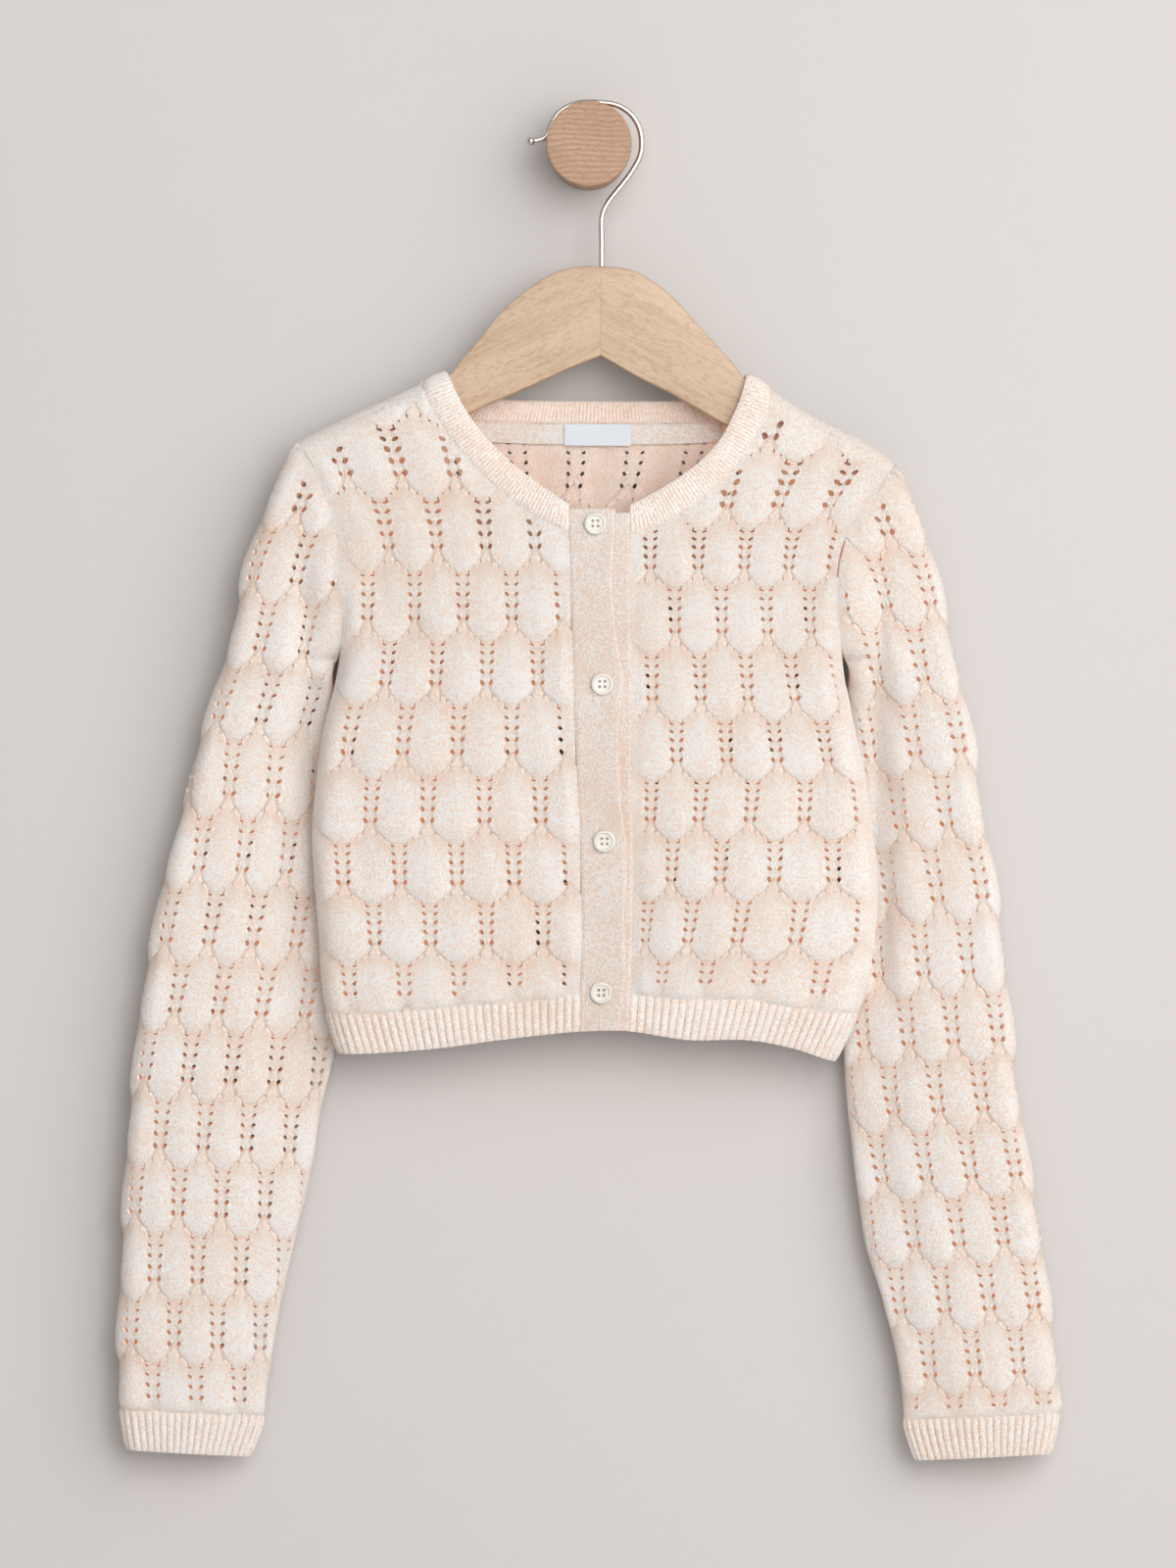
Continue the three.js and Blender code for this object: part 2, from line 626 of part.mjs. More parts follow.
// The heights at which a column starts and ends, found where it crosses the two edges.
function columnEnds(map, neck, column) {
  let top = -150;
  let bottom = -440;
  for (let turn = 0; turn < 30; turn += 1) {
    top = lerp(top, neck.top(map.x(column, top)), 0.6);
    bottom = hemLine(map.x(column, bottom)).top + SEAM;
  }
  return { top, bottom };
}

function bodyPanel({ lace, map, face, lap, neck, sides }) {
  const { columns, cornerColumns } = panelColumns({ lace, map, neck, sides });
  const lines = laceLines(lace);
  const strips = columns.map((column) => {
    const { top, bottom } = columnEnds(map, neck, column);
    const onShoulder = neck.onShoulder(map.x(column, top));
    const rows = [{ key: TOP_KEY, z: top, raise: 0 }];
    if (onShoulder) {
      SHOULDER_STEPS.forEach((step, index) => {
        rows.push({ key: TOP_KEY + 1 + index, z: top - step, raise: 0 });
      });
    }
    const clear = rows[rows.length - 1].z - (onShoulder ? SHOULDER_CLEAR : NECK_CLEAR);
    lines.forEach((line, index) => {
      const z = line.z(column);
      if (z < clear && z > bottom + HEM_CLEAR) rows.push({ key: index, z, raise: line.raise(column) });
    });
    rows.push({ key: BOTTOM_KEY, z: bottom, raise: 0 });
    const onArmhole = (column === map.start && sides.start) || (column === map.end && sides.end);
    const points = onArmhole ? finerEdge(rows) : rows;
    return points.map(({ key, z, raise }) => {
      const x = map.x(column, z);
      const point = bodyPoint(x, z, face, lap);
      const side = sideOf(x);
      if (onArmhole && z > UNDERARM_Z && key !== TOP_KEY) point.out.copy(armholeOut(side, z, face));
      const fromEnd = Math.abs(Math.min(column - map.start, map.end - column) * lace.pitch);
      const calm = smoothstep(fromEnd, 1, 9) * smoothstep(top - z, 1, 10) * smoothstep(z - bottom, 0, 6);
      return { key, at: point.at, out: point.out, raise: raise * calm };
    });
  });
  const fine = (index) => index < 4 || index > strips.length - 5 || cornerColumns.has(columns[index]);
  const keptKey = (key) => key < 0 || key % 2 === 0 || key % 1 > 0;
  return clothWall(strips, CLOTH, (i) => i % 2 === 0 || fine(i), keptKey);
}

const seamGapX = (side, gap) => (z) => edgeX(side, z) - outwardOf(side) * (z > UNDERARM_Z + 4 ? gap : 0);
// Columns through the corner of neckline and shoulder, close enough to follow it over the top.
const CORNER_SHARES = [0, 0.35, 0.7, 1];
const cornersOf = (outer, inner, part) => CORNER_SHARES.map((share) => {
  const x = lerp(outer.seamX, inner.seamX, share);
  return { x, z: neckSeam[part](x).z };
});

addPart("front_right", bodyPanel({
  lace: FRONT_RIGHT_LACE,
  map: columnMap(FRONT_RIGHT_LACE, (z) => placketEdge(z).seam - SEAM, seamGapX("right", SEAM)),
  face: FRONT,
  lap: -1,
  neck: {
    top: (x) => (x < NECK_RIGHT_X ? shoulderZ(x) : neckTop("right", x)),
    onShoulder: (x) => x < NECK_RIGHT_X + 0.01,
    corners: cornersOf(NECK.right[7], NECK.right[6], "right"),
  },
  sides: { start: false, end: true },
}), finish(YARN, 0.95));

addPart("front_left", bodyPanel({
  lace: FRONT_LEFT_LACE,
  map: columnMap(FRONT_LEFT_LACE, (z) => placketEdge(z).under + SEAM, seamGapX("left", SEAM)),
  face: FRONT,
  lap: 1,
  neck: {
    top: (x) => (x > NECK_LEFT_X ? shoulderZ(x) : neckTop("left", x)),
    onShoulder: (x) => x > NECK_LEFT_X - 0.01,
    corners: cornersOf(NECK.left[7], NECK.left[6], "left"),
  },
  sides: { start: false, end: true },
}), finish(YARN, 0.95));

const backCorners = [
  ...cornersOf(NECK.back[0], NECK.back[1], "back"),
  ...cornersOf(NECK.back[8], NECK.back[7], "back"),
];
addPart("back", bodyPanel({
  lace: BACK_LACE,
  map: columnMap(BACK_LACE, seamGapX("right", SEAM), seamGapX("left", SEAM)),
  face: BACK,
  lap: 0,
  neck: {
    top: (x) => (x < NECK_RIGHT_X || x > NECK_LEFT_X ? shoulderZ(x) : neckTop("back", x)),
    onShoulder: (x) => x < NECK_RIGHT_X + 0.01 || x > NECK_LEFT_X - 0.01,
    corners: backCorners,
  },
  sides: { start: true, end: true },
}), finish(YARN, 0.95));

// ---------------------------------------------------------------- sleeves
// Length of the rounded quarter at each edge of a sleeve, and of one whole face of it.
const quarter = (depth) => 0.785 * (SLEEVE_ROUND + depth);
function faceLength(section) {
  const width = Math.abs(section.outer - section.inner) - 2 * EDGE_INSET;
  return width - 2 * SLEEVE_ROUND + 2 * quarter(section.depth);
}

// A point at a distance round from the outer edge: below zero on the front, above it behind.
function sleeveAt(side, round, z) {
  const sleeve = SLEEVES[side];
  const outward = outwardOf(side);
  const section = sleeve.section(z);
  const outer = section.outer - outward * EDGE_INSET;
  const inner = section.inner + outward * EDGE_INSET;
  const width = Math.abs(outer - inner);
  const bend = quarter(section.depth);
  const length = faceLength(section);
  const distance = Math.abs(round);
  let across = SLEEVE_ROUND + distance - bend;
  let swell = 1;
  if (distance < bend) {
    const turn = (distance / bend) * (Math.PI / 2);
    across = SLEEVE_ROUND * (1 - Math.cos(turn));
    swell = Math.sin(turn);
  } else if (distance > length - bend) {
    const turn = ((length - distance) / bend) * (Math.PI / 2);
    across = width - SLEEVE_ROUND * (1 - Math.cos(turn));
    swell = Math.sin(turn);
  }
  const share = across / width;
  const face = round < 0 ? FRONT : BACK;
  const x = lerp(outer, inner, share);
  const height = z - SLEEVE_TILT * share;
  const besideBody = smoothstep(share, 0.5, 0.97) * smoothstep(-z, -UNDERARM_Z - 10, 300);
  const full = section.depth * (1 - SLEEVE_FLAT * besideBody);
  const middle = lerp(section.outerY, section.innerY, share ** 1.5);
  const trough = face === FRONT ? foldDepth(sleeve.fold, x, height) : 0;
  const y = middle + face * full * swell + trough * swell;
  const armX = edgeX(side, height);
  const fromArm = outward * (x - armX);
  const level = smoothstep(height, UNDERARM_Z - UNDERARM_BLEND, UNDERARM_Z);
  const near = (1 - smoothstep(fromArm, 0, SLEEVE_BLEND)) * level;
  const armY = bodyPoint(armX, Math.max(height, UNDERARM_Z), face).at.y;
  return vector(x, lerp(y, armY, near), height);
}

function sleevePoint(side, round, z) {
  const step = 0.2;
  const at = sleeveAt(side, round, z);
  const around = sleeveAt(side, round + step, z).sub(sleeveAt(side, round - step, z));
  const down = sleeveAt(side, round, z - step).sub(sleeveAt(side, round, z + step));
  const out = around.cross(down).multiplyScalar(-outwardOf(side)).normalize();
  return { at, out };
}

// The farthest a row runs round one face before it meets the armhole or the underarm seam.
function rowEnd(side, face, lineZ) {
  const outward = outwardOf(side);
  const step = 0.25;
  for (let distance = 0; distance < 140; distance += step) {
    const z = lineZ(face * distance);
    const length = faceLength(SLEEVES[side].section(z)) - SEAM;
    if (distance >= length) return length;
    const at = sleeveAt(side, face * distance, z);
    const open = at.z > UNDERARM_Z;
    if (open && outward * (at.x - edgeX(side, at.z)) < SEAM) return distance;
  }
  return 0;
}

function sleevePanel(side) {
  const sleeve = SLEEVES[side];
  const tip = SHOULDER_TIP_Z[side] - 2.5;
  const quarterPitch = sleeve.pitch / COLUMNS_PER_SCALE;
  const bottom = sleeve.cuffTop + SEAM;
  const columnOf = (round, z) => (Math.abs(round) - sleeve.section(z).shift) / sleeve.pitch;
  const lines = [
    { z: () => tip, raise: () => 0 },
    { z: () => tip - 4, raise: () => 0 },
    { z: () => tip - 9, raise: () => 0 },
  ];
  laceLines(sleeve, UNDERARM_Z - UNDERARM_BLEND).forEach((line) => {
    const heights = [0, 0.25, 0.5, 0.75].map((column) => line.z(column));
    if (Math.max(...heights) < tip - 12 && Math.min(...heights) > bottom + 1.5) lines.push(line);
  });
  lines.push({ z: () => bottom, raise: () => 0 });

  // A point's key counts columns round from the outer edge, so each column keeps its key down the sleeve.
  const keyOf = (round, shift) => {
    if (round === 0) return 0;
    return Math.sign(round) * (FIRST_KEY + (Math.abs(round) - shift) / quarterPitch);
  };
  const strips = lines.map((line) => {
    const lineZ = (round) => line.z(columnOf(round, line.z(0)));
    const shift = sleeve.section(lineZ(0)).shift;
    const ends = [-rowEnd(side, FRONT, lineZ), rowEnd(side, BACK, lineZ)];
    const places = [ends[0], 0, ends[1]];
    for (let step = -2; step <= 24; step += 1) {
      const distance = shift + step * quarterPitch;
      if (distance > 2.4 && distance < -ends[0] - 1.6) places.push(-distance);
      if (distance > 2.4 && distance < ends[1] - 1.6) places.push(distance);
    }
    places.sort((a, b) => a - b);
    return places.map((round) => {
      const z = lineZ(round);
      const point = sleevePoint(side, round, z);
      const atEnd = round === ends[0] || round === ends[1];
      const face = round < 0 ? FRONT : BACK;
      if (atEnd && point.at.z > UNDERARM_Z) point.out.copy(armholeOut(side, point.at.z, face));
      const fromEnd = Math.min(round - ends[0], ends[1] - round);
      const calm = smoothstep(fromEnd, 1, 9) * smoothstep(tip - z, 4, 14) * smoothstep(z - bottom, 0, 6);
      const raise = line.raise(columnOf(round, z)) * calm;
      return { key: keyOf(round, shift), at: point.at, out: point.out, raise };
    });
  });
  const keptColumn = (key) => Math.abs(Math.round(key) - key) < 1e-6 && Math.round(key) % 2 === 0;
  return clothWall(strips, CLOTH, (i) => i < 3 || i % 2 === 0, keptColumn);
}

// The rib at the sleeve's end: its columns stay evenly spaced as it narrows.
function cuffRib(side) {
  const sleeve = SLEEVES[side];
  const heights = [sleeve.cuffTop - SEAM, sleeve.cuffBottom];
  const ribs = Math.round((2 * faceLength(sleeve.section(sleeve.cuffTop))) / CUFF_RIB);
  const steps = 2 * ribs;
  const columns = Array.from({ length: steps + 1 }, (_, step) => heights.map((z, row) => {
    const reach = faceLength(sleeve.section(z)) - SEAM;
    const point = sleevePoint(side, lerp(-reach, reach, step / steps), z);
    return { key: row, at: point.at, out: point.out, raise: step % 2 === 1 ? RIB_RAISE : 0 };
  }));
  return clothWall(columns, RIB_CLOTH, (i) => i % 4 === 0, () => true);
}

for (const side of ["right", "left"]) {
  addPart(`sleeve_${side}`, sleevePanel(side), finish(YARN, 0.95));
  addPart(`cuff_${side}`, cuffRib(side), finish(RIB_YARN, 0.95));
}

// ---------------------------------------------------------------- hem ribs
// x at a distance round from the side fold, so that ribs keep their pitch round it.
function foldIn(distance, depth) {
  const bend = 0.785 * (SIDE_ROUND + depth);
  if (distance >= bend) return SIDE_ROUND + distance - bend;
  return SIDE_ROUND * (1 - Math.cos((distance / bend) * (Math.PI / 2)));
}

function hemRib({ face, lap, seam, side }) {
  const outward = outwardOf(side);
  const depthAt = (z) => bodyDepth(z)[face === FRONT ? "front" : "back"];
  const bend = (z) => 0.785 * (SIDE_ROUND + depthAt(z)) - SIDE_ROUND;
  const reach = (z) => outward * (edgeX(side, z) - seam(z)) + bend(z);
  const ribs = Math.round(reach(HEM_MIDDLE_Z) / HEM_RIB);
  const steps = 2 * ribs;
  const columns = Array.from({ length: steps + 1 }, (_, step) => ["top", "bottom"].map((line, row) => {
    let z = row === 0 ? -440 : -460;
    let x = 0;
    // The hem's height and the ribs' places depend on each other, so they are settled in turns.
    for (let turn = 0; turn < 12; turn += 1) {
      x = edgeX(side, z) - outward * foldIn(reach(z) * (1 - step / steps), depthAt(z));
      z = hemLine(x)[line] - (row === 0 ? SEAM : 0);
    }
    const point = bodyPoint(x, z, face, lap);
    return { key: row, at: point.at, out: point.out, raise: step % 2 === 1 ? RIB_RAISE : 0 };
  }));
  return columns;
}

const ribWall = (columns) => clothWall(columns, RIB_CLOTH, (i) => i % 4 === 0 || i < 4, () => true);
addPart("hem_front_right", ribWall(hemRib({
  face: FRONT, lap: -1, side: "right", seam: (z) => placketEdge(z).seam - SEAM,
})), finish(RIB_YARN, 0.95));
addPart("hem_front_left", ribWall(hemRib({
  face: FRONT, lap: 1, side: "left", seam: (z) => placketEdge(z).under + SEAM,
})), finish(RIB_YARN, 0.95));
const BACK_MIDDLE = 2;
const backHalf = (side) => hemRib({ face: BACK, lap: 0, side, seam: () => BACK_MIDDLE });
addPart("hem_back", ribWall([
  ...backHalf("right").reverse(),
  ...backHalf("left").slice(1),
]), finish(RIB_YARN, 0.95));

// ---------------------------------------------------------------- neckband
// Sections pass up one front, over the shoulder, across the back and down the other front.
function bandSections() {
  const smooth = (sections, face) => {
    const keys = ["seamX", "seamZ", "edgeX", "edgeZ"];
    const rows = sections.map((section, n) => [n, ...keys.map((key) => section[key])]);
    const read = table(["n", ...keys], rows);
    const list = [];
    for (let n = 0; n < sections.length - 1; n += 1) {
      const [here, next] = [sections[n], sections[n + 1]];
      const length = Math.hypot(next.seamX - here.seamX, next.seamZ - here.seamZ);
      const cuts = Math.max(1, Math.round(length / (BAND_RIB / 2)));
      for (let cut = 0; cut < cuts; cut += 1) list.push({ ...read(n + cut / cuts), face });
    }
    list.push({ ...sections[sections.length - 1], face });
    return list;
  };
  return [
    ...smooth(NECK.right, FRONT).slice(0, -1),
    ...smooth(NECK.back, BACK),
    ...smooth(NECK.left, FRONT).slice(0, -1).reverse(),
  ];
}

function neckband() {
  const sections = bandSections();
  const strips = sections.map((section, index) => {
    const { seamX, seamZ, edgeX: freeX, edgeZ, face } = section;
    const width = Math.hypot(freeX - seamX, edgeZ - seamZ);
    return [SEAM / width, 1].map((share) => {
      const x = lerp(seamX, freeX, share);
      const z = Math.min(lerp(seamZ, edgeZ, share), shoulderZ(x));
      const point = bodyPoint(x, z, face, face === FRONT ? outwardOf(sideOf(seamX)) : 0);
      return { key: share, at: point.at, out: point.out, raise: index % 2 ? BAND_RIB_RAISE : 0 };
    });
  });
  const overShoulder = (i) => shoulderZ(sections[i].edgeX) - sections[i].edgeZ < SHOULDER_ROUND + 2;
  return clothWall(strips, BAND_CLOTH, (i) => i % 4 === 0 || overShoulder(i), () => true);
}
addPart("neckband", neckband(), finish(RIB_YARN, 0.95));

// ---------------------------------------------------------------- button bands
const PLACKET_ROWS = 15;
const PLACKET_TOP = { upper: -186.6, under: -188.4 };
const PLACKET_BOTTOM_Z = -453;
function placket(upper) {
  const lap = upper ? -1 : 1;
  const top = upper ? PLACKET_TOP.upper : PLACKET_TOP.under;
  const strips = Array.from({ length: PLACKET_ROWS }, (_, row) => {
    const share = row / (PLACKET_ROWS - 1);
    const rough = lerp(top, PLACKET_BOTTOM_Z, share);
    const edge = placketEdge(rough);
    const near = upper ? edge.seam + SEAM : edge.under - SEAM;
    const far = upper ? edge.free : edge.under - PLACKET_UNDER_WIDTH;
    return [0, 0.25, 0.5, 0.75, 1].map((across) => {
      const x = lerp(near, far, across);
      const z = lerp(top, hemLine(x).bottom, share);
      const point = bodyPoint(x, z, FRONT, 0);
      point.at.y += lap * LAP;
      return { key: upper ? across : 1 - across, at: point.at, out: point.out, raise: 0 };
    }).sort((a, b) => a.key - b.key);
  });
  return clothWall(strips, PLACKET_CLOTH, (i) => i % 2 === 0, () => true);
}
addPart("placket_right", placket(true), finish(RIB_YARN, 0.95));
addPart("placket_left", placket(false), finish(RIB_YARN, 0.95));

// ---------------------------------------------------------------- tape and label inside the back neck
// A strip on the inside of the back, at a distance in from the cloth's middle.
function insideStrip({ fromX, toX, cuts, top, bottom, inward, thick }) {
  const strips = Array.from({ length: cuts + 1 }, (_, cut) => {
    const x = lerp(fromX, toX, cut / cuts);
    return [top(x), (top(x) + bottom(x)) / 2, bottom(x)].map((z, key) => {
      const point = bodyPoint(x, z, BACK, 0);
      return { key, at: point.at.addScaledVector(point.out, -inward), out: point.out, raise: 0 };
    });
  });
  return clothWall(strips, thick, (i) => i % 2 === 0, () => true);
}
const TAPE_IN = CLOTH / 2 + SEWN_GAP + TAPE_CLOTH / 2;
const LABEL_IN = TAPE_IN + TAPE_CLOTH / 2 + SEWN_GAP + LABEL_CLOTH / 2;
addPart("neck_tape", insideStrip({
  fromX: -63, toX: 69, cuts: 16, thick: TAPE_CLOTH, inward: TAPE_IN,
  top: (x) => neckSeam.back(x).z - 0.6,
  bottom: (x) => neckSeam.back(x).z - 10.6,
}), finish(RIB_YARN, 0.95));
addPart("label", insideStrip({
  fromX: -12.5, toX: 21.4, cuts: 4, thick: LABEL_CLOTH, inward: LABEL_IN,
  top: (x) => neckSeam.back(x).z - 0.4,
  bottom: (x) => neckSeam.back(x).z - 11.4,
}), finish(SATIN, 0.5));

// ---------------------------------------------------------------- booleans, for wood, wire and buttons
const wasm = await Module();
wasm.setup();
function solid(geometry) {
  const bare = geometry.clone();
  bare.deleteAttribute("normal");
  bare.deleteAttribute("uv");
  const merged = mergeVertices(bare, 1e-4);
  return new wasm.Manifold(new wasm.Mesh({
    numProp: 3,
    vertProperties: merged.attributes.position.array,
    triVerts: new Uint32Array(merged.index.array),
  }));
}
function geometryOf(body) {
  const mesh = body.getMesh();
  const geometry = new THREE.BufferGeometry();
  geometry.setAttribute("position", new THREE.BufferAttribute(mesh.vertProperties, 3));
  geometry.setIndex(new THREE.BufferAttribute(mesh.triVerts, 1));
  geometry.computeVertexNormals();
  return geometry;
}

// ---------------------------------------------------------------- buttons
// A turned button with a raised rim, a dished middle and four holes; its axis is Y, front at -Y.
function buttonGeometry() {
  const rim = BUTTON_RADIUS;
  const profile = [
    [0, 0], [rim - 0.7, 0], [rim, 0.9],
    [rim - 1, BUTTON_THICK], [rim - 2, BUTTON_THICK - 0.5], [0, BUTTON_THICK - 0.5],
  ].map(([radius, height]) => new THREE.Vector2(radius, height));
  let body = solid(new THREE.LatheGeometry(profile, 18));
  for (const [x, z] of [[1, 1], [1, -1], [-1, 1], [-1, -1]]) {
    const drill = new THREE.CylinderGeometry(BUTTON_HOLE, BUTTON_HOLE, 6, 6);
    drill.translate(x * BUTTON_HOLE_STEP, 0, z * BUTTON_HOLE_STEP);
    body = body.subtract(solid(drill));
  }
  return geometryOf(body).rotateX(Math.PI);
}
const BUTTONS = [
  { x: 3.2, z: -194.2 },
  { x: 6.7, z: -275.9 },
  { x: 7.8, z: -355.6 },
  { x: 6.2, z: -432.5 },
];
BUTTONS.forEach(({ x, z }, index) => {
  const point = bodyPoint(x, z, FRONT, 0);
  const geometry = buttonGeometry();
  geometry.applyQuaternion(new THREE.Quaternion().setFromUnitVectors(vector(0, -1, 0), point.out));
  const onBand = point.at.clone().add(vector(0, -LAP, 0));
  const seat = onBand.addScaledVector(point.out, PLACKET_CLOTH / 2 + SEWN_GAP);
  geometry.translate(seat.x, seat.y, seat.z);
  addPart(`button_${index + 1}`, geometry, finish(IVORY, 0.55));
});

// ---------------------------------------------------------------- hanger
// Each arm's upper and lower edge; inside the shoulders the upper edge lies just under the cloth.
const HANGER_JOINT_X = 6;
const JOINT_GAP = 0.2;
const HANGER_DROP = 1.0; // from the inside of the cloth to the wood that carries it
const NECK_CORNER_DROP = 1.8; // and this much more under the corners of the neckline
const NECK_CORNER_WIDTH = 8;
const underBand = (x) => x > NECK_RIGHT_X - 2 && x < NECK_LEFT_X + 2;
function underCloth(x) {
  const fromCorner = (x - (x < 0 ? NECK_RIGHT_X : NECK_LEFT_X)) / NECK_CORNER_WIDTH;
  const cornerDrop = NECK_CORNER_DROP * Math.exp(-(fromCorner ** 2));
  return shoulderZ(x) - (underBand(x) ? BAND_CLOTH : CLOTH) / 2 - HANGER_DROP - cornerDrop;
}
const HANGER_ARMS = {
  right: {
    outward: -1,
    upper: [[16, -62], [-6, -62.4], [-19, -66], [-33, -75], [-44.5, -85], [-57, -100.5], [-68, -113.2],
      [-71, -118.8]],
    under: [-80, -88, -98, -110, -124, -134, -141],
    tip: [-145, -157],
    lower: [
      [-143.5, -161.5], [-137, -163], [-120, -157.5], [-100, -150], [-80, -143.6], [-62, -137.4],
      [-49.5, -131.5], [-29, -122.8], [-11, -114.5], [6, -107.6], [16, -107.6],
    ],
  },
  left: {
    outward: 1,
    upper: [[-4, -62], [6, -62], [22, -64], [34.5, -71], [45, -80], [57.5, -94], [69, -106.8], [76.2, -115],
      [78.6, -120.4]],
    under: [86, 95, 106, 119, 132, 141, 148],
    tip: [151.5, -166.5],
    lower: [
      [150, -171], [144.5, -172.2], [128, -166], [108, -158.4], [88, -151], [71.7, -143.8],
      [57.5, -136], [42.3, -127], [24.5, -118.3], [6, -107.6], [-4, -107.6],
    ],
  },
};
function hangerArm(arm) {
  const outline = [
    ...arm.upper,
    ...arm.under.map((x) => [x, underCloth(x)]),
    arm.tip,
    ...arm.lower,
  ].map(([x, z]) => new THREE.Vector2(x, z));
  const shape = new THREE.Shape(outline);
  const geometry = new THREE.ExtrudeGeometry(shape, {
    depth: HANGER_THICK - 2 * HANGER_BEVEL,
    bevelEnabled: true,
    bevelThickness: HANGER_BEVEL,
    bevelSize: HANGER_BEVEL,
    bevelOffset: -HANGER_BEVEL,
    bevelSegments: 2,
    curveSegments: 1,
  });
  geometry.rotateX(Math.PI / 2);
  geometry.translate(0, HANGER_Y + HANGER_THICK / 2 - HANGER_BEVEL, 0);
  // The arms are sawn square where they meet, so the bevel stops there.
  const half = new THREE.BoxGeometry(200, 60, 200);
  half.translate(HANGER_JOINT_X + arm.outward * (100 + JOINT_GAP), HANGER_Y, -110);
  return geometryOf(solid(geometry).intersect(solid(half)));
}
addPart("hanger_arm_right", hangerArm(HANGER_ARMS.right), finish(BEECH, 0.55));
addPart("hanger_arm_left", hangerArm(HANGER_ARMS.left), finish(BEECH, 0.55));

// ---------------------------------------------------------------- hook and peg
const HOOK_ROUTE = [
  [6.5, -61.6], [6.5, -48], [6.6, -36.5], [9.4, -29.6], [14.4, -23], [20, -16], [25.2, -7.5], [27, 0],
  [25.8, 9], [21.4, 16.2], [14, 20.9], [4.5, 22.2], [-6, 21.8], [-15, 17.4], [-19.6, 10.6],
  [-21.8, 5.2], [-25, 3.2], [-29.7, 2.4],
];
function hook() {
  const points = HOOK_ROUTE.map(([x, z]) => vector(x, HANGER_Y, z));
  const path = new THREE.CatmullRomCurve3(points, false, "centripetal");
  const ring = new THREE.Shape();
  ring.absarc(0, 0, HOOK_RADIUS, 0, 2 * Math.PI);
  const wire = new THREE.ExtrudeGeometry(ring, {
    steps: 36,
    curveSegments: 4,
    extrudePath: path,
    bevelEnabled: false,
  });
  const end = points[points.length - 1];
  const ball = new THREE.SphereGeometry(HOOK_BALL, 10, 8).translate(end.x, end.y, end.z);
  return geometryOf(solid(wire).add(solid(ball)));
}
addPart("hook", hook(), finish(STEEL, 0.35, 0.9));

const pegProfile = [
  [0, 0], [PEG_STEM, 0], [PEG_STEM, PEG_FRONT + PEG_DISC], [PEG_RADIUS, PEG_FRONT + PEG_DISC],
  [PEG_RADIUS, PEG_FRONT + PEG_CHAMFER],
  [PEG_RADIUS - PEG_CHAMFER, PEG_FRONT], [0, PEG_FRONT],
].map(([radius, y]) => new THREE.Vector2(radius, y));
addPart("wall_peg", new THREE.LatheGeometry(pegProfile.reverse(), 40), finish(PEG_WOOD, 0.7));

export default shrug;
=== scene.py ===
"""A child's lace-knit shrug on a wooden hanger over a wall peg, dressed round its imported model.

Blender 4.5. Metres and +Z up in the scene; the cloth's own tables are in millimetres. The wall is
the plane Y = 0 and the front of the shrug faces -Y. Right and left are the wearer's: right is -X.
"""
import math

import bmesh
import bpy
import numpy as np
from bpy.props import FloatProperty, FloatVectorProperty, PointerProperty
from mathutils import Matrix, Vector


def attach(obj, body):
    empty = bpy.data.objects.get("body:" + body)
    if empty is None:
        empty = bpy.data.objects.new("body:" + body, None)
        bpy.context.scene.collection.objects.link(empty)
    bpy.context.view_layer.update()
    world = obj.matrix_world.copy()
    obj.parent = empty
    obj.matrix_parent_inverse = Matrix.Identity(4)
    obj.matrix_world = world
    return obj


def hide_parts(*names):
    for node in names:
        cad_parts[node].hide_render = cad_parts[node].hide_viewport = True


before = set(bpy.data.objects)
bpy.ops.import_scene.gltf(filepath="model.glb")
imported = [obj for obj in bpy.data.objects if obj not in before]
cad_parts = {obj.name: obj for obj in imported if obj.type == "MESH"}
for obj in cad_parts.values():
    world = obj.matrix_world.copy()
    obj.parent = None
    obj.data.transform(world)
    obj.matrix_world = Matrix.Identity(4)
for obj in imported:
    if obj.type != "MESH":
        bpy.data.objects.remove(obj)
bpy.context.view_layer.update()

bl_info = {
    "name": "Lace-knit shrug",
    "version": (1, 0, 0),
    "blender": (4, 5, 0),
    "location": "3D View > Sidebar > Shrug",
    "description": "Knits the shrug's lace panels and ribs, and finishes its hanger, hook, peg and buttons",
    "category": "Add Mesh",
}

MM = 0.001
BODY = "root"
FRONT = -1
BACK = 1
SIDES = ("right", "left")

# ---------------------------------------------------------------- sizes of the cloth, in millimetres
EDGE_INSET = 1.2  # from the garment's outline to the middle of its cloth
SIDE_ROUND = 12.0  # how far the side fold rounds in from the edge
SHOULDER_ROUND = 9.0
SLEEVE_ROUND = 8.0
SLEEVE_TILT = 4.0  # a sleeve's rows drop by this from its outer to its inner edge
UNDERARM_Z = -262.0
SHOULDER_TIP_Z = {"right": -152.0, "left": -164.0}
LAP = 1.4  # each front is this far from the middle where the button bands overlap
LAP_EASE = (2, 26)  # over these distances from its band's seam, it comes back to the middle
SQUARE_TO_SHOULDER = 0.9  # from a height below the sloping shoulder to a distance square to it
SIDE_THINNING = 0.2  # share of its depth that the body loses towards its sides
SIDE_OPENING = 0.4  # share of the armhole's height over which the side fold opens
FOLD_EASE = (0, 22)  # over these distances from the side, the front's folds reach their depth
SLEEVE_THINNING = 0.55  # share of its depth that a sleeve loses at its inner edge below the underarm
SLEEVE_LEAN = 1.5  # above 1, a sleeve keeps its outer edge's distance from the wall for longer
ARMHOLE_EASE = (0, 26)  # over these distances from the armhole, a sleeve leaves the body's depth
ARMHOLE_FOOT = 14.0  # the armhole's shape fades out over this height below the underarm
QUARTER_BEND = 0.785  # length of a rounded quarter, as a share of its two radii together
BUTTON_RADIUS = 5.6
BUTTON_THICK = 2.2


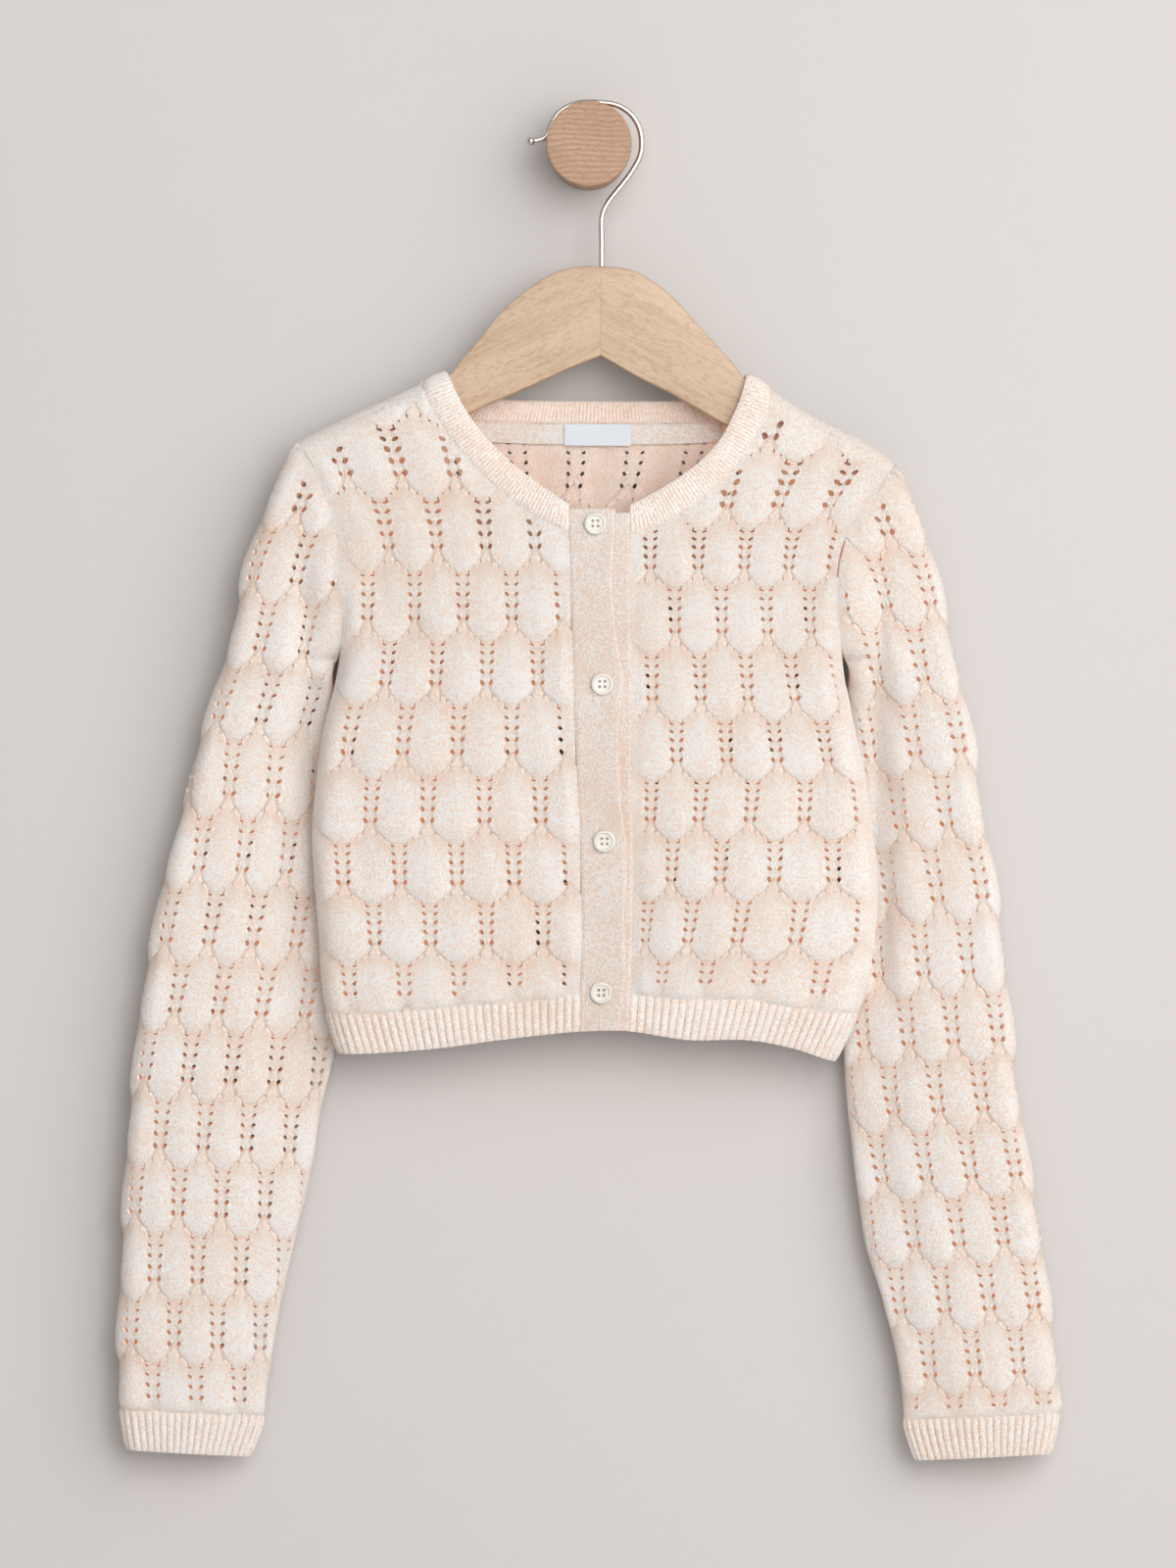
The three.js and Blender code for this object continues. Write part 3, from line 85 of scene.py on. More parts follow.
def table(rows, *names):
    """Smooth cubic reader of a short table: its first column is the key, and the rest are named."""
    data = np.array(rows, float)
    if data[0, 0] > data[-1, 0]:
        data = data[::-1]
    keys = data[:, 0]
    before = np.maximum(np.arange(len(keys)) - 1, 0)
    after = np.minimum(np.arange(len(keys)) + 1, len(keys) - 1)
    slopes = (data[after] - data[before]) / (keys[after] - keys[before])[:, None]

    def read(key, name=names[0]):
        column = 1 + names.index(name)
        key = np.asarray(key, float)
        low = np.clip(np.searchsorted(keys, key, side="right") - 1, 0, len(keys) - 2)
        span = keys[low + 1] - keys[low]
        share = np.clip((key - keys[low]) / span, 0, 1)
        start, end = data[low, column], data[low + 1, column]
        bend_in = slopes[low, column] * span - (end - start)
        bend_out = -slopes[low + 1, column] * span + (end - start)
        bend = (1 - share) * bend_in + share * bend_out
        return start + share * (end - start) + share * (1 - share) * bend

    return read


# The body's outline at each height: the armhole above the underarm, the side fold below it.
body_edge = table([
    (-140, -157, 175), (-152, -149.5, 165.5), (-165, -141.5, 156.5), (-180, -135.5, 144.5),
    (-198, -129.8, 133.5), (-215, -126.8, 128.8), (-237, -126, 128.3), (-262, -128, 130),
    (-276, -130.5, 132), (-301, -136.5, 137), (-326, -140, 142.5), (-351, -142, 145.5),
    (-376, -140.8, 148), (-401, -138.8, 147), (-426, -137.3, 143.5), (-441, -135, 139),
    (-470, -126.5, 125),
], "right", "left")

# Across the body: the shoulder line, carried on over the neck, and the lines of the hem.
shoulder_line = table([
    (-160, -159), (-149.5, -151), (-128.5, -140.5), (-112, -133), (-90.5, -123.5), (-73, -115.5),
    (-40, -100), (6, -92), (50, -101), (82, -117.5), (108.5, -134.5), (126.8, -144),
    (145, -153.3), (158, -163.5), (170, -174),
], "z")
hem_line = table([
    (-137, -441.5, -463), (-120, -444, -463.8), (-99, -442.5, -462.8), (-74, -440, -460.6),
    (-48, -438, -457), (-23, -436, -454), (-6, -433, -452.4), (20, -433.4, -452.2),
    (50, -436, -456.6), (81, -436, -456.8), (104, -440, -461), (125, -442.3, -467.6),
    (140, -442.5, -468),
], "top", "bottom")

# How deep the garment hangs: its middle plane, and how far its front and back stand off it.
body_depth = table([
    (-100, -31, 11.6, 11.4), (-135, -31, 11.8, 11.4), (-160, -31.2, 12.4, 11.4),
    (-195, -31.8, 13.5, 11.5), (-240, -33.2, 15.5, 12.5), (-300, -34.6, 16.5, 13),
    (-380, -35, 15.5, 12.5), (-441, -35, 12.8, 10.8), (-470, -35, 11, 9.6),
], "middle", "front", "back")

# The largest soft folds of the front: from, to, width and depth.
FRONT_FOLDS = [
    ((-118, -205), (-84, -262), 9, 2.0),
    ((121, -214), (86, -276), 10, 2.2),
    ((128, -300), (104, -372), 9, 1.8),
    ((-126, -318), (-106, -388), 9, 1.6),
    ((60, -392), (48, -432), 10, 1.4),
]

# The button bands: the upper one's seam and free edge, and the seam of the one under it.
placket_edge = table([
    (-186, -10.2, 12.9, 20.6), (-205, -9.4, 12.2, 20.2), (-223, -8.8, 11, 20.4),
    (-254, -7.8, 13.7, 20.8), (-276, -7.2, 17.2, 21.4), (-296, -6.6, 14.8, 21.2),
    (-334, -4.8, 15.5, 21.2), (-362, -3.8, 19, 22), (-398, -3, 17.4, 21.6),
    (-426, -3.8, 18.2, 21), (-455, -4.8, 14.4, 19.6),
], "seam", "free", "under")
PLACKET_UNDER_WIDTH = 22.0

# The neckline, in sections of seam x, seam z, edge x, edge z: up each front, and across the back.
NECK = {
    "right": [
        (-10.6, -198, -10.6, -184.2), (-22, -192, -17, -179.8), (-37.5, -182.5, -29.5, -171),
        (-52.8, -169.5, -43, -160), (-66.5, -154.5, -55.5, -146.6), (-75.5, -141.8, -63.3, -135.5),
        (-82, -129.5, -69, -124.6), (-84.8, -120.9, -73, -115.5),
    ],
    "left": [
        (21.4, -199, 21.4, -184.6), (34.7, -194.6, 28.6, -181), (51.6, -184.6, 43.6, -172.2),
        (67.4, -171.6, 57.5, -161.6), (79.5, -157.2, 67.6, -150.4), (87, -144, 74.2, -137.8),
        (91.8, -131.5, 78.4, -127), (92.4, -123.8, 80.7, -116.8),
    ],
    "back": [
        (-84.8, -120.9, -73, -115.5), (-79, -131.5, -68.5, -122.5), (-66, -138.5, -57, -127.4),
        (-42, -141, -38, -129.7), (2, -141.6, 2, -130.2), (46, -141.4, 43, -130.2),
        (71, -139.6, 62, -128.6), (85, -134, 74.6, -124.4), (92.4, -123.8, 80.7, -116.8),
    ],
}

# The sleeves: outer and inner edge at each height, how far each stands from the wall, how full
# the sleeve is, and how far the lace columns stand from the outer edge.
SLEEVE_COLUMNS = ("outer", "inner", "outer_y", "inner_y", "depth", "shift")
SLEEVES = {
    "right": {
        "section": table([
            (-145, -146, -116, -31, -31, 8, 0), (-154, -151.5, -117, -31, -31, 8.5, 0),
            (-168, -158.5, -118.5, -31, -31, 9, 0), (-183, -164, -119.5, -31, -31, 9.8, 0),
            (-211, -174.5, -121.5, -31, -32, 10.5, 0), (-240, -180.3, -122, -31, -33, 11, 0),
            (-254, -183.4, -126, -30.7, -33, 11, 0), (-264, -186, -130.4, -30.5, -32, 11, 0),
            (-276, -190, -130.4, -30, -25.4, 10.5, 0), (-292, -195.2, -130.6, -29, -19, 10.5, 0),
            (-308, -200, -130.4, -28.5, -15.4, 10.3, 1.5), (-341, -208, -129.6, -28, -13.4, 10, 6),
            (-379, -218, -129, -27.5, -13, 10, 11), (-404, -223, -129, -27, -13.2, 10, 12),
            (-436, -228.7, -129, -26.5, -13.5, 10, 12), (-457, -231.4, -129.9, -26, -14, 10, 11.5),
            (-489, -234.6, -137, -25.5, -15, 10, 11), (-530, -237.6, -144, -25, -17, 9.8, 11),
            (-570, -239.4, -153.6, -24.5, -19, 9.4, 11), (-608, -240.9, -161, -24, -20.5, 9, 11),
            (-640, -240.9, -165.6, -24, -21, 8.5, 11), (-650, -240.4, -167, -24, -21.4, 8, 11),
            (-668, -237.2, -174, -24, -22, 7, 11),
        ], *SLEEVE_COLUMNS),
        "fold": ((-141, -205), (-146, -345), 8, 5),
        "cuff": (-646, -667),
    },
    "left": {
        "section": table([
            (-155, 150, 119, -31, -31, 8, 1.5), (-165, 158.6, 120, -31, -31, 8.5, 1.5),
            (-180, 165.5, 121.5, -31, -31, 9, 1.5), (-197, 171.5, 122.5, -31, -31, 9.8, 1.5),
            (-224, 179.5, 125, -31, -32.5, 10.5, 1.5), (-240, 182.5, 124, -31, -33.2, 11, 1.5),
            (-254, 185.2, 128, -30.7, -33, 11, 1.5), (-264, 187.2, 132.3, -30.5, -32, 11, 1.5),
            (-276, 190.2, 131.8, -30, -25.4, 10.5, 1.5), (-292, 194, 132, -29, -19, 10.5, 1.5),
            (-308, 197, 132.2, -28.5, -15.4, 10.3, 1.5), (-344, 201.8, 132.6, -28, -13.4, 10, 1.5),
            (-375, 207.6, 133, -27.5, -13, 10, 1.5), (-426, 213.6, 131, -26.5, -13.5, 10, 1.5),
            (-457, 216.8, 130.4, -26, -14, 10, 1.5), (-480, 218.8, 131.5, -25.6, -15, 10, 1.5),
            (-524, 225.8, 136.4, -25, -17, 9.8, 1.5), (-560, 231.4, 141.8, -24.6, -18.6, 9.4, 1.5),
            (-590, 235.4, 151, -24.2, -19.8, 9.2, 1.5), (-622, 239.6, 158.4, -24, -20.8, 8.8, 1.5),
            (-642, 241.4, 160.6, -24, -21, 8.4, 1.5), (-652, 240.8, 161.4, -24, -21.4, 8, 1.5),
            (-672, 236.6, 168, -24, -22, 7, 1.5),
        ], *SLEEVE_COLUMNS),
        "fold": ((148, -215), (152, -452), 7, 5.5),
        "cuff": (-648, -669),
    },
}

# The lace of each piece: where its rows start, where its first column stands, and their pitch.
# The drift moves its columns sideways towards the hem.
LACE = {
    "front_right": {
        "rows": (-144.5, -181.5, -219, -254.5, -286.5, -323.5, -357, -387.5, -418, -450),
        "phase": 0.0, "first": -12.0, "pitch": -27.3, "drift": ((-100, 0), (-300, 0), (-450, 0)), "seed": 3,
    },
    "front_left": {
        "rows": (-162, -197, -226.5, -261, -295, -325, -355, -386, -417, -449),
        "phase": 0.5, "first": 32.0, "pitch": 24.8,
        "drift": ((-100, 0), (-320, 0), (-354, -4), (-386, -7), (-417, -11), (-450, -13)), "seed": 5,
    },
    "back": {
        "rows": (-151, -185, -220, -254, -288, -321, -354, -387, -419, -451),
        "phase": 0.0, "first": -11.0, "pitch": 26.5, "drift": ((-100, 0), (-300, 0), (-450, 0)), "seed": 7,
    },
    "sleeve_right": {
        "rows": (-161, -197, -233, -268, -304, -343, -381, -418, -453, -488, -522, -556, -590, -622, -656),
        "phase": 0.0, "pitch": 21.8, "seed": 11,
    },
    "sleeve_left": {
        "rows": (-172, -209, -246, -284, -321, -358, -396, -434, -468, -503, -537, -571, -604, -637, -670),
        "phase": 0.0, "pitch": 22.5, "seed": 13,
    },
}


# ---------------------------------------------------------------- sizes and colours a user would change
class KnitSettings(bpy.types.PropertyGroup):
    """Yarn and lace of the shrug."""
    cloth: FloatProperty(name="Lace thickness", default=0.0015, min=0.001, max=0.003, unit="LENGTH",
                         description="Thickness of the lace panels' knitted wall")
    rib_cloth: FloatProperty(name="Rib thickness", default=0.002, min=0.001, max=0.003, unit="LENGTH",
                             description="Thickness of the ribbed hem and cuffs")
    lobe: FloatProperty(name="Scale height", default=0.0023, min=0.0, max=0.005, unit="LENGTH",
                        description="How far the lower end of a knitted scale stands off the plain knit")
    yarn_light: FloatVectorProperty(name="Light strand", subtype="COLOR", size=3, default=(0.99, 0.975, 0.96),
                                    min=0, max=1, description="Colour of the marl yarn's light strand")
    yarn_warm: FloatVectorProperty(name="Warm strand", subtype="COLOR", size=3, default=(0.93, 0.765, 0.655),
                                   min=0, max=1, description="Colour of the marl yarn's warm strand")
    marl: FloatProperty(name="Marl", default=0.42, min=0, max=1, subtype="FACTOR",
                        description="Share of the warm strand that shows")
    # strength of the painted glow: an emission on the knit's inside
    painted_glow: FloatProperty(name="Glow", default=0.11, min=0, max=1, subtype="FACTOR",
                        description="How strongly light filtered through the loose knit shows on its inside")


class WoodSettings(bpy.types.PropertyGroup):
    """Wood and wire that carry the shrug."""
    beech: FloatVectorProperty(name="Beech", subtype="COLOR", size=3, default=(0.536, 0.389, 0.262),
                               min=0, max=1, description="Colour of the hanger's lacquered beech")
    end_grain: FloatVectorProperty(name="End grain", subtype="COLOR", size=3, default=(0.42, 0.275, 0.182),
                                   min=0, max=1, description="Colour of the peg's sawn face")
    rounding: FloatProperty(name="Rounding", default=0.0022, min=0.0005, max=0.004, unit="LENGTH",
                            description="Radius on the hanger's long edges")


class StudioSettings(bpy.types.PropertyGroup):
    """Wall, floor, light and camera."""
    wall: FloatVectorProperty(name="Wall", subtype="COLOR", size=3, default=(0.624, 0.603, 0.594),
                              min=0, max=1, description="Colour of the painted wall")
    key_power: FloatProperty(name="Key light", default=50.0, min=0, unit="POWER",
                             description="Power of the soft light from the right")
    fill: FloatProperty(name="Fill light", default=0.33, min=0, max=5,
                        description="Strength of the light from all round")
    front_power: FloatProperty(name="Front light", default=44.0, min=0, unit="POWER",
                               description="Power of the soft light beside the camera")
    camera_distance: FloatProperty(name="Camera distance", default=3.3333, min=1, max=20, unit="LENGTH",
                                   description="From the camera to the front of the cloth")
    view_height: FloatProperty(name="View height", default=0.8, min=0.1, max=5, unit="LENGTH",
                               description="Height of what the camera sees at the cloth")


def knit():
    return bpy.context.scene.shrug_knit


def wood():
    return bpy.context.scene.shrug_wood


# ---------------------------------------------------------------- surface of the body
def outward_of(side):
    return -1.0 if side == "right" else 1.0


def smoothstep(value, low, high):
    share = np.clip((value - low) / (high - low), 0, 1)
    return share * share * (3 - 2 * share)


def lerp(start, end, share):
    return start + (end - start) * share


def edge_x(side, z):
    return body_edge(z, side) - outward_of(side) * EDGE_INSET


def shoulder_z(x):
    return shoulder_line(x) - EDGE_INSET


def side_fold(side, z):
    """1 on the side fold, falling to 0 up the armhole, where the body stays open to the sleeve."""
    rise = (z - UNDERARM_Z) / (SHOULDER_TIP_Z[side] - UNDERARM_Z)
    return np.where(z < UNDERARM_Z, 1.0, np.clip(1 - rise / SIDE_OPENING, 0, 1))


def fold_depth(fold, x, z):
    """Depth of a soft fold: a trough between its two ends, fading at both."""
    (from_x, from_z), (to_x, to_z), width, depth = fold
    run_x, run_z = to_x - from_x, to_z - from_z
    length = math.hypot(run_x, run_z)
    along = ((x - from_x) * run_x + (z - from_z) * run_z) / length
    across = ((x - from_x) * run_z - (z - from_z) * run_x) / length
    fade_in = smoothstep(along, -0.1 * length, 0.25 * length)
    fade_out = smoothstep(length - along, -0.1 * length, 0.3 * length)
    return depth * (fade_in * fade_out) * np.exp(-((across / width) ** 2))


def front_lap(x, z, lap):
    """How far a front is moved off the middle, as its button band lies over or under the other."""
    if not lap:
        return np.zeros_like(x)
    reach = placket_edge(z, "seam") - x if lap < 0 else x - placket_edge(z, "under")
    return lap * LAP * (1 - smoothstep(reach, *LAP_EASE))


def body_parts(x, z, face, lap):
    """Middle plane and full depth of the body, and how far its side and its shoulder round it off."""
    right = x < 0
    span = np.where(right, edge_x("right", z), edge_x("left", z))
    inward = np.maximum(0, np.where(right, -1, 1) * (span - x))
    below = np.maximum(0, SQUARE_TO_SHOULDER * (shoulder_z(x) - z))
    folds = sum(fold_depth(fold, x, z) for fold in FRONT_FOLDS) if face == FRONT else 0
    middle = body_depth(z, "middle") + folds * smoothstep(inward, *FOLD_EASE) + front_lap(x, z, lap)
    full = body_depth(z, "front" if face == FRONT else "back")
    full = full * (1 - SIDE_THINNING * np.minimum(1, (x / span) ** 2))
    fold = np.where(right, side_fold("right", z), side_fold("left", z))
    rounding = np.clip(1 - inward / SIDE_ROUND, 0, 1) * fold
    top = np.clip(1 - below / SHOULDER_ROUND, 0, 1)
    return middle, full, rounding, top


def body_y(x, z, face, lap=0):
    middle, full, rounding, top = body_parts(x, z, face, lap)
    return middle + face * full * np.sqrt(np.maximum(0, 1 - rounding ** 2 - top ** 2))


def body_points(x, z, face, lap=0):
    """The middle of the cloth over (x, z), and the direction that faces out of it."""
    x, z = np.broadcast_arrays(np.asarray(x, float), np.asarray(z, float))
    y = body_y(x, z, face, lap)

    def swell(px, py, pz):
        middle, full, rounding, top = body_parts(px, pz, face, lap)
        return ((py - middle) / full) ** 2 + rounding ** 2 + top ** 2

    step = 0.05
    out = np.stack([
        swell(x + step, y, z) - swell(x - step, y, z),
        swell(x, y + step, z) - swell(x, y - step, z),
        swell(x, y, z + step) - swell(x, y, z - step),
    ], axis=-1)
    out[..., 1] = np.where(out[..., 1] * face < 1e-6, face * 1e-6, out[..., 1])
    return np.stack([x, y, z], axis=-1), unit(out)


def unit(vectors):
    return vectors / np.maximum(np.linalg.norm(vectors, axis=-1, keepdims=True), 1e-12)


# ---------------------------------------------------------------- surface of a sleeve
def quarter(depth):
    """Length of the rounded quarter at each edge of a sleeve."""
    return QUARTER_BEND * (SLEEVE_ROUND + depth)


def face_length(side, z):
    """Length round one face of a sleeve, from its outer edge to its inner one."""
    read = SLEEVES[side]["section"]
    width = np.abs(read(z, "outer") - read(z, "inner")) - 2 * EDGE_INSET
    return width - 2 * SLEEVE_ROUND + 2 * quarter(read(z, "depth"))


def sleeve_at(side, around, z):
    """A point at a distance round from the outer edge: below zero on the front, above it behind."""
    read = SLEEVES[side]["section"]
    outward = outward_of(side)
    outer = read(z, "outer") - outward * EDGE_INSET
    inner = read(z, "inner") + outward * EDGE_INSET
    depth = read(z, "depth")
    width = np.abs(outer - inner)
    bend = quarter(depth)
    length = face_length(side, z)
    distance = np.abs(around)
    near_turn = np.clip(distance / bend, 0, 1) * (np.pi / 2)
    far_turn = np.clip((length - distance) / bend, 0, 1) * (np.pi / 2)
    across = np.where(
        distance < bend, SLEEVE_ROUND * (1 - np.cos(near_turn)),
        np.where(distance > length - bend, width - SLEEVE_ROUND * (1 - np.cos(far_turn)),
                 SLEEVE_ROUND + distance - bend))
    swell = np.sin(near_turn) * np.sin(far_turn)
    share = across / width
    face = np.where(around < 0, FRONT, BACK)
    x = lerp(outer, inner, share)
    height = z - SLEEVE_TILT * share
    thinning = SLEEVE_THINNING * smoothstep(share, 0.5, 0.97) * smoothstep(-z, -UNDERARM_Z - 10, 300)
    full = depth * (1 - thinning)
    middle = lerp(read(z, "outer_y"), read(z, "inner_y"), np.maximum(share, 0) ** SLEEVE_LEAN)
    trough = np.where(face == FRONT, fold_depth(SLEEVES[side]["fold"], x, height), 0)
    y = middle + face * full * swell + trough * swell
    arm_x = edge_x(side, height)
    from_arm = outward * (x - arm_x)
    near = 1 - smoothstep(from_arm, *ARMHOLE_EASE)
    near = near * smoothstep(height, UNDERARM_Z - ARMHOLE_FOOT, UNDERARM_Z)
    open_z = np.maximum(height, UNDERARM_Z)
    arm_y = np.where(face == FRONT, body_y(arm_x, open_z, FRONT), body_y(arm_x, open_z, BACK))
    return np.stack([x, lerp(y, arm_y, near), height], axis=-1)


def sleeve_points(side, around, z):
    """The middle of a sleeve's cloth, and the direction that faces out of it."""
    around, z = np.broadcast_arrays(np.asarray(around, float), np.asarray(z, float))
    step = 0.2
    at = sleeve_at(side, around, z)
    along = sleeve_at(side, around + step, z) - sleeve_at(side, around - step, z)
    down = sleeve_at(side, around, z - step) - sleeve_at(side, around, z + step)
    return at, unit(np.cross(along, down) * -outward_of(side))


# ---------------------------------------------------------------- lace pattern
CELLS_PER_SCALE = 18
BACK_CELLS_PER_SCALE = 14
SLEEVE_CELLS_PER_SCALE = 14
EVEN_LINES = 25
LIP_SHARES = (0.912, 0.94, 0.965, 0.986)  # the last lines of a band, where a scale's end rolls under
LINES_PER_BAND = EVEN_LINES - 2 + len(LIP_SHARES)
COLUMN_FOOT = 0.65  # share of a row where its eyelet columns end
EDGE_POWER = 1.75  # how round a scale's lower end is
SCALE_RISE = (0.02, 0.7)  # shares of a row between which a scale rises
ROLL_START = 0.76  # share of a row where a scale's end starts to roll back to the cloth
ROLL_LENGTH = 0.24
ROLL_POWER = 2.2
PUFF = 0.75  # how full a scale is across its width: lower is fuller
UNEVEN = 0.16  # how much one scale's height may differ from the plain one
DICE = 64
VALLEY = 0.12  # height between the scales, as a share of theirs
COLUMN_PULL = (-0.02, -0.27)  # how far cells are drawn to an eyelet column, at a row's top and foot
PULL_REACH = 7.5
ROOM_POWER = 0.8  # how much of a larger eyelet's growth its neighbours give way to
LEAST_STEP = 0.1

# The eyelets down one side of a column: first line, lines tall, half length, half width, slope.
COLUMN_EYELETS = ((1, 2, 1.2, 0.6, 18), (5, 2, 1.3, 0.75, 28), (9, 3, 1.4, 0.9, 42), (14, 3, 1.55, 0.98, 52),
                  (19, 4, 1.8, 1.05, 62))
# The slits under a column's foot and along the scales' edges: line past the band, cells aside, cells
# wide, half length, half width, slope.
FOOT_SLITS = ((1, 1, 2, 0.95, 0.5, 58), (0, 4, 1, 0.62, 0.4, 40), (0, 6, 1, 0.55, 0.36, 30))
WALES_PER_SCALE = 24
COURSE = 0.95  # height of a stitch


def row_top(lace, row):
    """Height of a row's upper edge, carried on past the first and the last row."""
    rows = lace["rows"]
    last = len(rows) - 1
    if row < 0:
        return rows[0] - row * (rows[0] - rows[1])
    return rows[row] if row <= last else rows[last] - (row - last) * (rows[last - 1] - rows[last])


def row_phase(lace, row):
    """Where a row's scales stand, in pitches: every other row is half a pitch aside."""
    return (lace["phase"] + 0.5 * row) % 1


def from_scale_middle(lace, row, column):
    """0 in the middle of a scale of this row, 1 on the eyelet columns beside it."""
    share = (column - row_phase(lace, row)) % 1
    return np.abs(2 * share - 1)


def scale_edge(lace, row, column):
    """Height of the lower edge of this row's scales."""
    share = 1 - (1 - COLUMN_FOOT) * from_scale_middle(lace, row, column) ** EDGE_POWER
    return lerp(row_top(lace, row), row_top(lace, row + 1), share)


def band_shares():
    """Where a band's lines lie between one scale edge and the next: even, then closer on the lip."""
    return np.concatenate([np.arange(EVEN_LINES - 2) / EVEN_LINES, LIP_SHARES])


def scale_height(share):
    """Rise of a scale from under the row above, and its roll back to the cloth at its lower end."""
    roll = np.clip((share - ROLL_START) / ROLL_LENGTH, 0, 1)
    return smoothstep(share, *SCALE_RISE) * (1 - roll ** ROLL_POWER)


def scale_dice(lace, row, scales):
    """A steady random number for each scale of a row, between -1 and 1."""
    draw = np.random.default_rng(lace["seed"] * 1000 + row + 50)
    return draw.uniform(-1, 1, DICE)[scales % DICE]


def lace_field(lace, column, first_row, last_row):
    """Grid over the pattern: each point's height, relief and share of its row, and each line's row."""
    heights, raises, shares_out, bands = [], [], [], []
    shares = band_shares()
    for row in range(first_row, last_row + 1):
        upper = scale_edge(lace, row - 1, column)
        lower = scale_edge(lace, row, column)
        aside = from_scale_middle(lace, row, column)
        scale = np.floor(column - row_phase(lace, row)).astype(int)
        dice = scale_dice(lace, row, scale + 20)
        puff = (0.5 + 0.5 * np.cos(np.pi * aside)) ** PUFF
        for share in shares:
            heights.append(lerp(upper, lower, share))
            raises.append(VALLEY + (1 - VALLEY) * puff * scale_height(share) * (1 + UNEVEN * dice))
            shares_out.append(np.full_like(column, share))
            bands.append(row)
    return np.array(heights), np.array(raises), np.array(shares_out), np.array(bands)


def column_warp(lace, bands, shares, column, pitch):
    """Sideways shift, in pitches, that draws the cells in towards each eyelet column."""
    shift = np.zeros_like(shares)
    for line, row in enumerate(bands):
        away = (column - row_phase(lace, row) + 0.5) % 1 - 0.5
        millimetres = away * pitch
        hold = np.exp(-(np.abs(millimetres) / PULL_REACH) ** 4)
        fade = smoothstep(shares[line], 0, 0.1) * smoothstep(1 - shares[line], 0, 0.05)
        shift[line] = lerp(*COLUMN_PULL, shares[line]) * away * hold * fade
    return shift


def eyelet_blocks(lace, column_index, bands, cells):
    """Blocks of cells to open: line, cell, lines tall, cells wide, hand, half length, half width, slope.

    Down each eyelet column stand pairs of leaning ovals that close up and grow towards its foot, and
    small slits follow the scale's edge on either side of the foot."""
    blocks = []
    first_line = {}
    for line, row in enumerate(bands):
        first_line.setdefault(row, line)
    for row, start in first_line.items():
        centre_offset = round(row_phase(lace, row) * cells)
        for index in column_index:
            if (index - centre_offset) % cells:
                continue
            for hand in (-1, 1):
                for line, tall, *oval in COLUMN_EYELETS:
                    blocks.append((start + line, index + (1 if hand > 0 else -3), tall, 2, hand, *oval))
                for line, aside, wide, *oval in FOOT_SLITS:
                    cell = index + (aside if hand > 0 else -aside - wide)
                    if 2 * (aside + wide) < cells:
                        blocks.append((start + LINES_PER_BAND + line, cell, 1, wide, hand, *oval))
    return blocks


def shape_eyelets(across, down, keep, blocks, inside, sizes):
    """Opens each block of cells as a leaning oval, and takes its cells out of the mesh."""
    lines, cells = across.shape
    for line, cell, tall, wide, hand, half_length, half_width, slope in blocks:
        if line < 1 or cell < 1 or line + tall >= lines - 1 or cell + wide >= cells - 1:
            continue
        block = (slice(line, line + tall + 1), slice(cell, cell + wide + 1))
        if not inside[line - 1:line + tall + 2, cell - 1:cell + wide + 2].all():
            continue
        middle_across, middle_down = across[block].mean(), down[block].mean()
        side = hand * np.sign(across[line, cell + wide] - across[line, cell])
        step_across = np.abs(across[line, cell + wide] - across[line, cell]) / 2
        step_down = np.abs(down[line + tall, cell] - down[line, cell]) / 2
        lean = math.radians(slope)
        size = sizes[line, cell]
        tallest = math.hypot(half_length * math.sin(lean), half_width * math.cos(lean)) * size
        widest = math.hypot(half_length * math.cos(lean), half_width * math.sin(lean)) * size
        room = size ** ROOM_POWER
        size *= min(1, room * step_down / tallest, room * step_across / widest)
        turn = np.arctan2((down[block] - middle_down) / max(step_down, LEAST_STEP),
                          side * (across[block] - middle_across) / max(step_across, LEAST_STEP)) - lean
        along, over = half_length * size * np.cos(turn), half_width * size * np.sin(turn)
        ring = np.ones_like(turn, bool)
        ring[1:-1, 1:-1] = False
        moved_across = middle_across + side * (along * math.cos(lean) - over * math.sin(lean))
        moved_down = middle_down + along * math.sin(lean) + over * math.cos(lean)
        across[block] = np.where(ring, moved_across, across[block])
        down[block] = np.where(ring, moved_down, down[block])
        keep[line:line + tall, cell:cell + wide] = False


# ---------------------------------------------------------------- meshes
WELD = 0.12  # points nearer than this are one
SHEET_ANGLE = 70  # degrees between two faces above which their edge stays sharp
# painted shade over the whole inner shell of a cloth wall
INSIDE_PAINTED_SHADE = 0.85
# The share of the painted glow on the inner shell inside the open neck and in the closed body below it, and
# where the neck is.
INSIDE_LIGHT = {"neck": 0.1, "low": 1.7}
NECK_LIGHT_Z = (-222, -202)
NECK_LIGHT_X = (56, 70)


